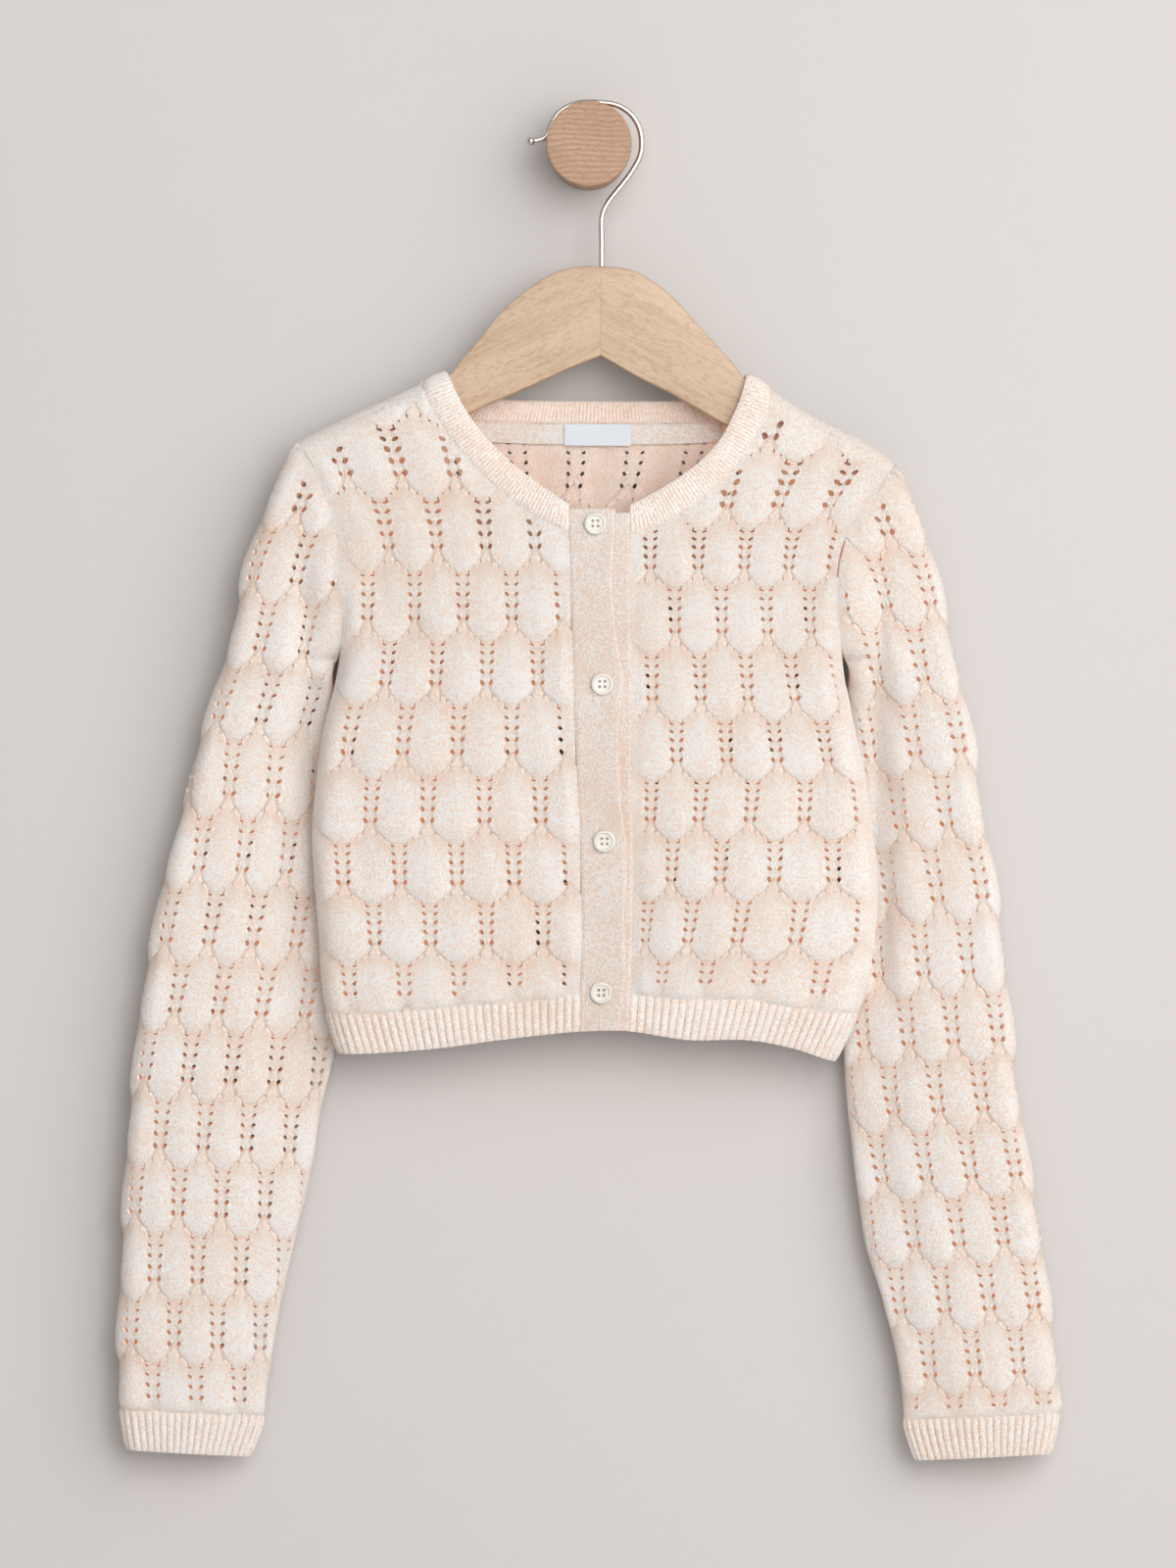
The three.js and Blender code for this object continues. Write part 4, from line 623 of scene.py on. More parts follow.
def sheet_object(name, at, keep, uv, cavity, thickness):
    """A cloth wall from a grid of points: its cells become faces, and Solidify gives it its thickness."""
    lines, columns = at.shape[:2]
    index = np.arange(lines * columns).reshape(lines, columns)
    quads = np.stack([index[:-1, :-1], index[1:, :-1], index[1:, 1:], index[:-1, 1:]], axis=-1)[keep]
    mesh = bpy.data.meshes.new(name)
    mesh.from_pydata((at.reshape(-1, 3) * MM).tolist(), [], quads.tolist())
    piece = bpy.data.objects.new(name, mesh)
    bpy.context.scene.collection.objects.link(piece)
    layer = mesh.uv_layers.new(name="stitches")
    loops = np.empty(len(mesh.loops), int)
    mesh.loops.foreach_get("vertex_index", loops)
    layer.data.foreach_set("uv", uv.reshape(-1, 2)[loops].astype(np.float32).ravel())
    # per-point painted shade, which the yarn finish uses to darken the colour
    attribute = mesh.attributes.new("cavity", "FLOAT", "POINT")
    attribute.data.foreach_set("value", cavity.reshape(-1).astype(np.float32))
    weld(mesh)
    outward = vertex_normals(mesh)
    select_only(piece)
    solidify = piece.modifiers.new("Wall", "SOLIDIFY")
    solidify.thickness = thickness
    solidify.offset = 0
    solidify.use_rim = True
    bpy.ops.object.modifier_apply(modifier=solidify.name)
    mark_inside(mesh, outward)
    bpy.ops.object.shade_smooth_by_angle(angle=math.radians(SHEET_ANGLE))
    return piece


def weld(mesh):
    """Merges the points that fall together, and drops those that carry no face."""
    welded = bmesh.new()
    welded.from_mesh(mesh)
    bmesh.ops.remove_doubles(welded, verts=welded.verts, dist=WELD * MM)
    loose = [vertex for vertex in welded.verts if not vertex.link_faces]
    bmesh.ops.delete(welded, geom=loose, context="VERTS")
    welded.to_mesh(mesh)
    welded.free()


def mark_inside(mesh, outward):
    """Marks the wall's inner shell: its share of the painted glow, and painted shade over all of it."""
    turned = (vertex_normals(mesh) * np.tile(outward, (2, 1))).sum(axis=1) < 0
    places = np.empty(3 * len(mesh.vertices), np.float32)
    mesh.vertices.foreach_get("co", places)
    in_neck = smoothstep(places[2::3] / MM, *NECK_LIGHT_Z)
    in_neck = in_neck * (1 - smoothstep(np.abs(places[::3]) / MM, *NECK_LIGHT_X))
    lit = lerp(INSIDE_LIGHT["low"], INSIDE_LIGHT["neck"], in_neck)
    attribute = mesh.attributes.new("inside", "FLOAT", "POINT")
    attribute.data.foreach_set("value", (turned * lit).astype(np.float32))
    hollow_shade = np.empty(len(mesh.vertices), np.float32)
    cavity = mesh.attributes["cavity"].data
    cavity.foreach_get("value", hollow_shade)
    cavity.foreach_set("value", np.maximum(hollow_shade, INSIDE_PAINTED_SHADE * turned).astype(np.float32))


def vertex_normals(mesh):
    """The mesh's vertex normals, one row each."""
    normals = np.empty(3 * len(mesh.vertices), np.float32)
    mesh.vertices.foreach_get("normal", normals)
    return normals.reshape(-1, 3)


def select_only(piece):
    """Leaves edit mode, and makes the piece the only one selected and the active one."""
    if bpy.context.object and bpy.context.object.mode != "OBJECT":
        bpy.ops.object.mode_set(mode="OBJECT")
    bpy.ops.object.select_all(action="DESELECT")
    piece.select_set(True)
    bpy.context.view_layer.objects.active = piece


def finish_piece(piece, slot, material, *nodes):
    """Rides the piece on the body, gives it its finish, and lets it stand for its solids."""
    piece.data.materials.clear()
    piece.data.materials.append(material)
    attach(piece, BODY)
    if nodes:
        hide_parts(*nodes)
    return piece


def facing(at, direction):
    """Whether a grid's faces, taken at its middle, point along a direction."""
    middle = at[at.shape[0] // 2, at.shape[1] // 2]
    down = at[at.shape[0] // 2 + 1, at.shape[1] // 2] - middle
    along = at[at.shape[0] // 2, at.shape[1] // 2 + 1] - middle
    return np.dot(np.cross(down, along), direction) > 0


def worked_sheet(name, at, keep, uv, cavity, thickness, outward, first_columns=None):
    """A sheet from its grid, turned over when its faces would point into the garment.

    A piece that goes round on itself is judged by its first columns, which lie on its front."""
    if not facing(at[:, :first_columns], np.array(outward, float)):
        at, uv, cavity, keep = at[:, ::-1], uv[:, ::-1], cavity[:, ::-1], keep[:, ::-1]
    return sheet_object(name, at, keep, uv, cavity, thickness)


def whole_sheet(name, at, uv, cavity, thickness, outward, first_columns=None):
    """A sheet of a grid that has no eyelets."""
    keep = np.ones((at.shape[0] - 1, at.shape[1] - 1), bool)
    return worked_sheet(name, at, keep, uv, cavity, thickness, outward, first_columns)


def neck_seam(part):
    """Height of the sewn neck edge over x."""
    return table([(seam_x, seam_z) for seam_x, seam_z, _, _ in NECK[part]], "z")


TO_FRONT = (0, -1, 0)
NECK_RIGHT_X = NECK["right"][-1][0]
NECK_LEFT_X = NECK["left"][-1][0]
# Plain lines of cloth close to an edge that rounds off: below the shoulder, by the side fold, and
# below a sleeve's crown.
SHOULDER_STEPS = (0.0, 0.06, 0.25, 0.6, 1.1, 1.8, 2.7, 3.8)
SIDE_STEPS = (0.12, 0.45, 1.0)
CROWN_STEPS = (0, 0.08, 0.3, 0.7, 1.3, 2.1, 3.1)
BELOW_STEPS = 0.5  # from the last of these lines to the lace
BAND_OVERLAP = 0.8  # how far a panel runs in under the band sewn to it
BAND_CLEAR = 0.1  # between a front's edge and the seam of its button band
PITCH_Z = -300.0  # height at which the columns stand at their plain pitch
SEAM_SHARE = 0.06  # share of a pitch at each end of a panel that takes no column
NEAR_POWER, FAR_POWER, DRIFT_POWER = 2, 1.6, 0.8  # how soon a panel's ends and drift let its columns go
EDGE_ROUNDS = 40  # rounds in which a panel's top and bottom settle on their lines
EDGE_PULL = 0.6
TOP_GUESS, BOTTOM_GUESS = -150.0, -440.0

# No eyelet opens nearer to an edge than this.
TOP_MARGIN = 1.2
CROWN_MARGIN = 6
RIB_MARGIN = 2.6
SEAM_MARGIN = 2.2
SIDE_MARGIN = 3.2

# The scales rise to their full height between these two distances from an edge.
SEAM_CALM = (0.5, 7)
TOP_CALM = (0.5, 22)
CROWN_CALM = (2, 14)
RIB_CALM = (0, 3.5)

# The eyelets' size, and how much it grows between two heights: the knit is stretched over the
# hanger, so they are larger on the shoulders.
EYELET_SIZES = {
    "front": (1.0, 0.5, -212, -172),
    "back": (0.9, 0.0, -212, -172),
    "sleeve": (0.96, 0.3, -230, -180),
}

# How much painted shade darkens the colour of the lace's hollows: under the row above, in the valleys, and in
# knit that lies calm.
UNDER_ROW = 0.36
UNDER_SHADE = 0.7
VALLEY_SHADE = 0.4
VALLEY_SCALE = 1.4
CALM_SHADE = 0.25


def panel_top(part, x):
    """The top edge of a panel: the neckline where the band is sewn on, and the shoulder beside it."""
    beside_right, beside_left = x < NECK_RIGHT_X, x > NECK_LEFT_X
    on_shoulder = {"right": beside_right, "left": beside_left, "back": beside_right | beside_left}[part]
    return np.where(on_shoulder, shoulder_z(x), neck_seam(part)(x) + BAND_OVERLAP), on_shoulder


def body_panel(name, part, face, lap, near, far, both_sides):
    """One lace panel of the body, from its seams and its lace."""
    lace = LACE[name]
    pitch, first = lace["pitch"], lace["first"]
    drift = table(lace["drift"], "x")
    cells = BACK_CELLS_PER_SCALE if part == "back" else CELLS_PER_SCALE
    start, end = (near(PITCH_Z) - first) / pitch, (far(PITCH_Z) - first) / pitch
    sides = np.array(SIDE_STEPS) / abs(pitch)
    start_extra = start + sides if both_sides else []
    end_extra = end - sides
    clear_start, clear_end = start + SEAM_SHARE, end - SEAM_SHARE
    index = np.arange(math.ceil(clear_start * cells), math.floor(clear_end * cells) + 1)
    column = np.concatenate([[start], start_extra, index / cells, np.sort(end_extra), [end]])
    lead = 1 + len(start_extra)

    down, raises, shares, bands = lace_field(lace, column, -2, len(lace["rows"]) - 1)
    shift = column_warp(lace, bands, shares, column, abs(pitch))

    def x_of(columns, z):
        share = np.clip((columns - start) / (end - start), 0, 1)
        near_shift = near(z) - (first + pitch * start)
        far_shift = far(z) - (first + pitch * end)
        middle = np.sin(np.pi * share) ** DRIFT_POWER
        at_near, at_far = near_shift * (1 - share) ** NEAR_POWER, far_shift * share ** FAR_POWER
        return first + pitch * columns + at_near + at_far + drift(z) * middle

    top = np.full(len(column), TOP_GUESS)
    bottom = np.full(len(column), BOTTOM_GUESS)
    for _ in range(EDGE_ROUNDS):
        top = lerp(top, panel_top(part, x_of(column, top))[0], EDGE_PULL)
        bottom = hem_line(x_of(column, bottom), "top") - BAND_OVERLAP
    on_shoulder = panel_top(part, x_of(column, top))[1]
    cap = np.where(on_shoulder, SHOULDER_STEPS[-1] + BELOW_STEPS, 0.0)
    ceiling = top - cap
    clamped = np.clip(down, bottom[None, :], ceiling[None, :])
    inside = (down < ceiling[None, :] - TOP_MARGIN) & (down > bottom[None, :] + RIB_MARGIN)
    across = x_of(column[None, :] + np.where(clamped == down, shift, 0), clamped)
    keep = np.ones((len(bands) - 1, len(column) - 1), bool)
    near_end = np.minimum(np.abs(across - near(clamped)), np.abs(across - far(clamped)))
    inside &= near_end > (SIDE_MARGIN if both_sides else SEAM_MARGIN)
    blocks = eyelet_blocks(lace, index, bands, cells)
    blocks = [(line, cell + lead - index[0], *rest) for line, cell, *rest in blocks]
    sizes = size_of_eyelets("front" if face == FRONT else "back", clamped)
    shape_eyelets(across, clamped, keep, blocks, inside, sizes)

    steps = np.array(SHOULDER_STEPS)[:, None]
    cap_z = np.where(on_shoulder[None, :], top[None, :] - steps, top[None, :])
    clamped = np.vstack([cap_z, clamped])
    across = np.vstack([x_of(np.broadcast_to(column, cap_z.shape), cap_z), across])
    raises = np.vstack([np.zeros_like(cap_z), raises])
    keep = np.vstack([np.ones((len(steps), keep.shape[1]), bool), keep])
    shares = np.vstack([np.full_like(cap_z, 0.5), shares])
    at, out = body_points(across, clamped, face, lap)
    calm = smoothstep(np.minimum(np.abs(across - near(clamped)), np.abs(across - far(clamped))), *SEAM_CALM)
    calm *= smoothstep(top[None, :] - clamped, *TOP_CALM) * smoothstep(clamped - bottom[None, :], *RIB_CALM)
    lift = raises * calm * knit().lobe / MM
    at = at + out * lift[..., None]
    uv = np.stack([np.broadcast_to(column * WALES_PER_SCALE, clamped.shape), clamped / COURSE], axis=-1)
    cavity = painted_shade_of(raises, shares, calm)
    return worked_sheet(name + "_lace", at, keep, uv, cavity, knit().cloth, (0, face, 0))


def painted_shade_of(raises, shares, calm):
    """Painted shade: 1 in the hollows of the lace, most of all under the row above, and 0 on its raised
    scales.
    """
    under = 1 - smoothstep(shares, 0, UNDER_ROW)
    valley = 1 - raises * VALLEY_SCALE
    return np.clip(UNDER_SHADE * under + VALLEY_SHADE * valley, 0, 1) * lerp(CALM_SHADE, 1, calm)


def size_of_eyelets(place, z):
    """How large the eyelets of a place are at each height."""
    plain, growth, low, high = EYELET_SIZES[place]
    return plain + growth * smoothstep(z, low, high)


SLEEVE_REACH = 6  # columns each way from the outer edge
SLEEVE_WALES = 20  # stitches across a sleeve's scale
# By the seam under the arm the knit is pressed flat: distances from the seam, and heights either
# side of a place below the underarm.
UNDERARM_BELOW = 22
UNDERARM_SEAM_EASE = (6, 28)
UNDERARM_HEIGHT_EASE = (20, 50)


def sleeve_panel(side):
    """One lace sleeve, wound round from its inner edge over the front, the outer edge and the back."""
    name = "sleeve_" + side
    lace = LACE[name]
    pitch = lace["pitch"]
    cells = SLEEVE_CELLS_PER_SCALE
    read = SLEEVES[side]["section"]
    bottom = SLEEVES[side]["cuff"][0] - BAND_OVERLAP
    index = np.arange(-SLEEVE_REACH * cells, SLEEVE_REACH * cells + 1)
    column = index / cells
    down, raises, shares, bands = lace_field(lace, column, -1, len(lace["rows"]) - 1)
    crown = sleeve_crown(side)
    steps = np.array(CROWN_STEPS)[:, None]
    ceiling = crown - steps[-1, 0] - BELOW_STEPS
    down = np.clip(down, bottom, ceiling)
    cap_z = np.broadcast_to(crown - steps, (len(steps), len(column)))
    down = np.vstack([cap_z, down])
    raises = np.vstack([np.zeros_like(cap_z), raises])
    shift = np.vstack([np.zeros_like(cap_z), column_warp(lace, bands, shares, column, pitch)])
    around = (column[None, :] + shift) * pitch - read(down, "shift")
    front_end, back_end = row_ends(side, FRONT, around, down), row_ends(side, BACK, around, down)
    inside = (around > -front_end[:, None] + SEAM_MARGIN) & (around < back_end[:, None] - SEAM_MARGIN)
    inside &= (down < ceiling - CROWN_MARGIN) & (down > bottom + RIB_MARGIN)
    from_end = np.minimum(around + front_end[:, None], back_end[:, None] - around)
    for line, (low, high) in enumerate(zip(-front_end, back_end)):
        at_ends = np.interp(np.clip(around[line], low, high), around[line], down[line])
        down[line] = np.where(from_end[line] < 0, at_ends, down[line])
    around = np.clip(around, -front_end[:, None], back_end[:, None])
    keep = np.ones((down.shape[0] - 1, len(column) - 1), bool)
    blocks = eyelet_blocks(lace, index, bands, cells)
    blocks = [(line + len(steps), cell - index[0], *rest) for line, cell, *rest in blocks]
    shape_eyelets(around, down, keep, blocks, inside, size_of_eyelets("sleeve", down))
    at, out = sleeve_points(side, around, down)
    calm = smoothstep(from_end, *SEAM_CALM) * smoothstep(crown - down, *CROWN_CALM)
    by_seam = 1 - smoothstep(from_end, *UNDERARM_SEAM_EASE)
    by_underarm = 1 - smoothstep(np.abs(down - UNDERARM_Z + UNDERARM_BELOW), *UNDERARM_HEIGHT_EASE)
    calm *= 1 - by_seam * by_underarm
    calm *= smoothstep(down - bottom, *RIB_CALM)
    lift = raises * calm * knit().lobe / MM
    at = at + out * lift[..., None]
    uv = np.stack([np.broadcast_to(column * SLEEVE_WALES, down.shape), down / COURSE], axis=-1)
    cavity = painted_shade_of(raises, np.vstack([np.full_like(cap_z, 0.5), shares]), calm)
    return worked_sheet(name + "_lace", at, keep, uv, cavity, knit().cloth, TO_FRONT, at.shape[1] // 2)


CROWN_SEARCH = 6  # this far either side of the shoulder's tip
CROWN_SEARCH_STEP = 0.02
CROWN_DROP = 0.4
ENDS_SEARCH = 135  # farther round than the widest sleeve
ENDS_SEARCH_STEP = 0.25
ARMHOLE_GAP = 0.05


def sleeve_crown(side):
    """Height at which the armhole meets the shoulder line, where the sleeve closes over."""
    tip = SHOULDER_TIP_Z[side]
    heights = np.arange(tip - CROWN_SEARCH, tip + CROWN_SEARCH, CROWN_SEARCH_STEP)
    above = heights - shoulder_z(edge_x(side, heights))
    return float(heights[np.argmin(np.abs(above))]) - CROWN_DROP


def row_ends(side, face, around, down):
    """How far each line runs round one face before it meets the armhole or the inner edge."""
    distance = np.arange(0, ENDS_SEARCH, ENDS_SEARCH_STEP)
    outward = outward_of(side)
    ends = np.empty(len(down))
    for line in range(len(down)):
        signed = face * distance
        order = np.argsort(around[line])
        z = np.interp(signed, around[line][order], down[line][order])
        at = sleeve_at(side, signed, z)
        length = face_length(side, z)
        closed = distance >= length
        beyond = outward * (at[:, 0] - edge_x(side, at[:, 2]))
        armhole = (at[:, 2] > UNDERARM_Z) & (beyond < ARMHOLE_GAP)
        stop = np.argmax(closed | armhole)
        ends[line] = min(distance[stop], length[stop])
    return ends


# ---------------------------------------------------------------- ribs
RIB_COLUMNS = 7
HEM_RIB = 4.0
CUFF_RIB = 3.8
RIB_RISE = 0.95
RIB_FULLNESS = 0.6  # lower makes the rib fuller and its groove narrower
RIB_WALES = 3  # stitches across a rib
RIB_OVER_WEB = 1.25  # thickness of the ribbed cloth over that of the knit between its ribs
HEM_LINES = 15
CUFF_LINES = 15
HEM_Z = -452.0  # height at which the hem's ribs are counted
HEM_GUESS = (-440.0, -460.0)
HEM_ROUNDS = 14  # rounds in which the hem's rows settle on its lines
BACK_SPLIT_X = 2.0  # where the two halves of the back hem meet


def crest(wale):
    """1 on the crest of each wale, and 0 between them."""
    return 0.5 - 0.5 * np.cos(2 * np.pi * wale)


def groove(wale):
    """1 between the wales, and 0 on their crests."""
    return 0.5 + 0.5 * np.cos(2 * np.pi * wale)


def rib_profile(ribs):
    """Rise of a rib over its pitch: a round wale beside a narrow groove."""
    return crest(ribs) ** RIB_FULLNESS


def fold_in(distance, depth):
    """How far in from the side a point is, at a distance round from the side fold."""
    bend = QUARTER_BEND * (SIDE_ROUND + depth)
    turn = np.clip(distance / bend, 0, 1) * (np.pi / 2)
    return np.where(distance >= bend, SIDE_ROUND + distance - bend, SIDE_ROUND * (1 - np.cos(turn)))


def hem_grid(face, lap, side, seam):
    """The rib below a panel, from its seam to the side fold: points, ways out, wales and rows."""
    outward = outward_of(side)
    depth_name = "front" if face == FRONT else "back"

    def reach(z):
        depth = body_depth(z, depth_name)
        return outward * (edge_x(side, z) - seam(z)) + QUARTER_BEND * (SIDE_ROUND + depth) - SIDE_ROUND

    ribs = round(float(reach(HEM_Z)) / HEM_RIB)
    share = np.linspace(0, 1, ribs * RIB_COLUMNS + 1)[None, :]
    rows = np.linspace(0, 1, HEM_LINES)[:, None]
    z = np.broadcast_to(lerp(*HEM_GUESS, rows), (HEM_LINES, share.shape[1])).copy()
    for _ in range(HEM_ROUNDS):
        x = edge_x(side, z) - outward * fold_in(reach(z) * (1 - share), body_depth(z, depth_name))
        z = lerp(hem_line(x, "top"), hem_line(x, "bottom"), rows)
    at, out = body_points(x, z, face, lap)
    wale = np.broadcast_to(share * ribs, z.shape)
    return at, out, wale, rows


def rib_lift(wale, rows, rise):
    """Ribs rise from the plain edge that is sewn on, and round off at the free one."""
    ends = smoothstep(rows, 0, 0.12) * (1 - 0.75 * smoothstep(rows, 0.88, 1.0))
    return rib_profile(wale) * rise * ends


def rib_painted_shade(wale, rows):
    """Painted shade of a rib: in its grooves, and along the seam it is sewn on by."""
    return 0.85 * (1 - rib_profile(wale)) + 0.25 * (1 - smoothstep(rows, 0, 0.15))


def hem_panel(name, grids):
    """One ribbed hem from its grids, joined side by side."""
    at = np.concatenate([grid[0] for grid in grids], axis=1)
    out = np.concatenate([grid[1] for grid in grids], axis=1)
    wale = np.concatenate([grid[2] + 100 * number for number, grid in enumerate(grids)], axis=1)
    rows = grids[0][3]
    lift = rib_lift(wale, rows, RIB_RISE)
    uv = np.stack([wale * RIB_WALES, at[..., 2] / COURSE], axis=-1)
    face = BACK if name == "hem_back" else FRONT
    at = at + out * lift[..., None]
    thickness = knit().rib_cloth / RIB_OVER_WEB
    return whole_sheet(name + "_rib", at, uv, rib_painted_shade(wale, rows), thickness, (0, face, 0))


def cuff_panel(side):
    """The ribbed cuff, wound round the end of its sleeve."""
    top, bottom = SLEEVES[side]["cuff"]
    z = np.linspace(top, bottom, CUFF_LINES)[:, None]
    ribs = round(float(2 * face_length(side, top)) / CUFF_RIB)
    share = np.linspace(-1, 1, ribs * RIB_COLUMNS + 1)[None, :]
    around = face_length(side, z) * share
    at, out = sleeve_points(side, around, np.broadcast_to(z, around.shape))
    wale = np.broadcast_to((share + 1) / 2 * ribs, around.shape)
    rows = (z - top) / (bottom - top)
    lift = rib_lift(wale, rows, RIB_RISE)
    uv = np.stack([wale * RIB_WALES, np.broadcast_to(z / COURSE, wale.shape)], axis=-1)
    at = at + out * lift[..., None]
    thickness = knit().rib_cloth / RIB_OVER_WEB
    name = "cuff_" + side + "_rib"
    return whole_sheet(name, at, uv, rib_painted_shade(wale, rows), thickness, TO_FRONT, at.shape[1] // 2)


# ---------------------------------------------------------------- neckband, button bands, tape and label
BAND_RIB = 1.9
BAND_COLUMNS = 4
BAND_ACROSS = 10
BAND_CROWN = 0.8
BAND_RISE = 0.55
BAND_CLOTH = 0.0019
BAND_WIDTH = 13.5
BAND_FINE = 3000  # points along a stretch from which its even spacing is measured
BAND_EDGE = 0.1  # share of the band's width over which its ribs round off
PLACKET_TOP_Z = {"right": -186.6, "left": -188.4}
PLACKET_FOOT_Z = -453.0
PLACKET_CROWN = 0.5
PLACKET_EDGE = 0.05
PLACKET_WALE = 1.15
PLACKET_WALE_COLUMNS = 3
PLACKET_LINES = 120
PLACKET_CLOTH = 0.0019
PLACKET_RISE = 0.22


def band_run(part, face, lap):
    """The neckband along one stretch of the neckline: the middle of its cloth, and the way out of it."""
    sections = NECK[part]
    keys = ("seam_x", "seam_z", "edge_x", "edge_z")
    read = table([(number, *section) for number, section in enumerate(sections)], *keys)

    def at_share(number, across):
        seam_x, seam_z = read(number, "seam_x"), read(number, "seam_z")
        free_x, free_z = read(number, "edge_x"), read(number, "edge_z")
        x = lerp(seam_x, free_x, across)
        z = np.minimum(lerp(seam_z, free_z, across), shoulder_z(x))
        return body_points(x, z, face, lap)

    fine = np.linspace(0, len(sections) - 1, BAND_FINE)
    middle = at_share(fine, 0.5)[0]
    length = np.concatenate([[0], np.cumsum(np.linalg.norm(np.diff(middle, axis=0), axis=1))])
    ribs = round(length[-1] / BAND_RIB)
    even = np.interp(np.linspace(0, length[-1], ribs * BAND_COLUMNS + 1), length, fine)
    across = np.linspace(0, 1, BAND_ACROSS)[:, None]
    return at_share(even[None, :], across)


def neckband_piece():
    """The neckband: up the right front, across the back and down the left front."""
    right, back, left = band_run("right", FRONT, -1), band_run("back", BACK, 0), band_run("left", FRONT, 1)
    at, out = (
        np.concatenate([right[part][:, :-1], back[part], left[part][:, -2::-1]], axis=1) for part in (0, 1))
    wale = np.arange(at.shape[1])[None, :] / BAND_COLUMNS
    across = np.linspace(0, 1, BAND_ACROSS)[:, None]
    crown = BAND_CROWN * (1 - (2 * across - 1) ** 2)
    rise = BAND_RISE * crest(wale)
    rise = rise * smoothstep(across, 0, BAND_EDGE) * smoothstep(1 - across, 0, BAND_EDGE)
    ends = smoothstep(wale, 0, 2) * smoothstep(wale[0, -1] - wale, 0, 2)
    lift = (crown * (0.3 + 0.7 * ends) + rise) * np.ones_like(at[..., 0])
    courses = across * BAND_WIDTH / COURSE
    uv = np.stack([np.broadcast_to(wale, lift.shape), np.broadcast_to(courses, lift.shape)], axis=-1)
    # painted shade in the grooves between wales and along the seam
    cavity = np.clip(0.9 * groove(wale) + 0.2 * (1 - smoothstep(across, 0, 0.12)), 0, 1)
    cavity = cavity * np.ones_like(lift)
    at = at + out * lift[..., None]
    front_columns = 2 * (at.shape[1] // 8)
    return whole_sheet("neckband_rib", at, uv, cavity, BAND_CLOTH, TO_FRONT, front_columns)


def placket_piece(upper):
    """A button band: the upper one on the right front, or the one under it on the left front."""
    side, lap = ("right", -1) if upper else ("left", 1)
    top = PLACKET_TOP_Z[side]
    rows = np.linspace(0, 1, PLACKET_LINES)[:, None]
    rough = lerp(top, PLACKET_FOOT_Z, rows)
    near = placket_edge(rough, "seam" if upper else "under")
    far = placket_edge(rough, "free") if upper else near - PLACKET_UNDER_WIDTH
    wales = round(PLACKET_UNDER_WIDTH / PLACKET_WALE)
    across = np.linspace(0, 1, wales * PLACKET_WALE_COLUMNS + 1)[None, :]
    x = lerp(near, far, across)
    z = lerp(top, hem_line(x, "bottom"), rows)
    at, out = body_points(x, z, FRONT, 0)
    at = at + np.array([0, lap * LAP, 0])
    wale = np.broadcast_to(across * wales, x.shape)
    edges = smoothstep(across, 0, PLACKET_EDGE) * smoothstep(1 - across, 0, PLACKET_EDGE)
    lift = crest(wale) * PLACKET_RISE + PLACKET_CROWN * edges
    uv = np.stack([wale, z / COURSE], axis=-1)
    # painted shade in the grooves between wales and towards the band's edges
    cavity = 0.45 * groove(wale) + 0.3 * (1 - edges)
    at = at + out * lift[..., None]
    return whole_sheet("placket_" + side + "_band", at, uv, cavity, PLACKET_CLOTH, TO_FRONT)


def inside_strip(name, from_x, to_x, top, bottom, inward, thickness, columns, lines, wave=0.0):
    """A strip on the inside of the back, at a distance in from the middle of its cloth."""
    x = np.linspace(from_x, to_x, columns)[None, :]
    rows = np.linspace(0, 1, lines)[:, None]
    seam = neck_seam("back")(x)
    z = lerp(seam - top, seam - bottom, rows)
    at, out = body_points(np.broadcast_to(x, z.shape), z, BACK)
    share = (x - from_x) / (to_x - from_x)
    ripple = wave * np.sin(np.pi * share) * smoothstep(rows, 0.2, 1) + 0 * z
    at = at - out * (inward + ripple)[..., None]
    uv = np.stack([at[..., 0], at[..., 2]], axis=-1)
    return whole_sheet(name, at, uv, np.zeros_like(z), thickness, TO_FRONT)


# ---------------------------------------------------------------- wood, wire and buttons
HANGER_Y = -31.0
HANGER_THICK = 11.6
HANGER_JOINT_X = 6.0
JOINT_GAP = 0.06
NECK_CORNERS = (NECK_RIGHT_X, NECK_LEFT_X)
HANGER_DROP = 2.0  # from the middle of the cloth to the wood that carries it
CORNER_DROP = 1.8  # the arms keep this much lower under the ends of the neckband
CORNER_REACH = 8
TIP_LENGTH = 7
ARM_STATIONS = 46
SAME_PLACE = 1e-6  # metres: two coordinates nearer than this are the same
HOOK_RADIUS = 1.5
HOOK_BALL = 2.35
PEG_RADIUS, PEG_STEM, PEG_FRONT, PEG_DISC = 21.8, 20.0, -44.0, 9.0
PEG_ROUNDING = 0.9
RIM_CATCH = 0.1  # an edge this near to the rim belongs to it
BUTTON_RIM, BUTTON_SLOPE, BUTTON_DISH = 1.25, 0.45, 0.62
BUTTON_WELL, BUTTON_WELL_DEPTH = 1.2, 0.12
BUTTON_HOLE, BUTTON_HOLE_AT = 0.78, 1.35
BUTTON_ROUNDING = 0.75
BUTTON_LIFT = 0.75  # from the band's cloth to the button's back

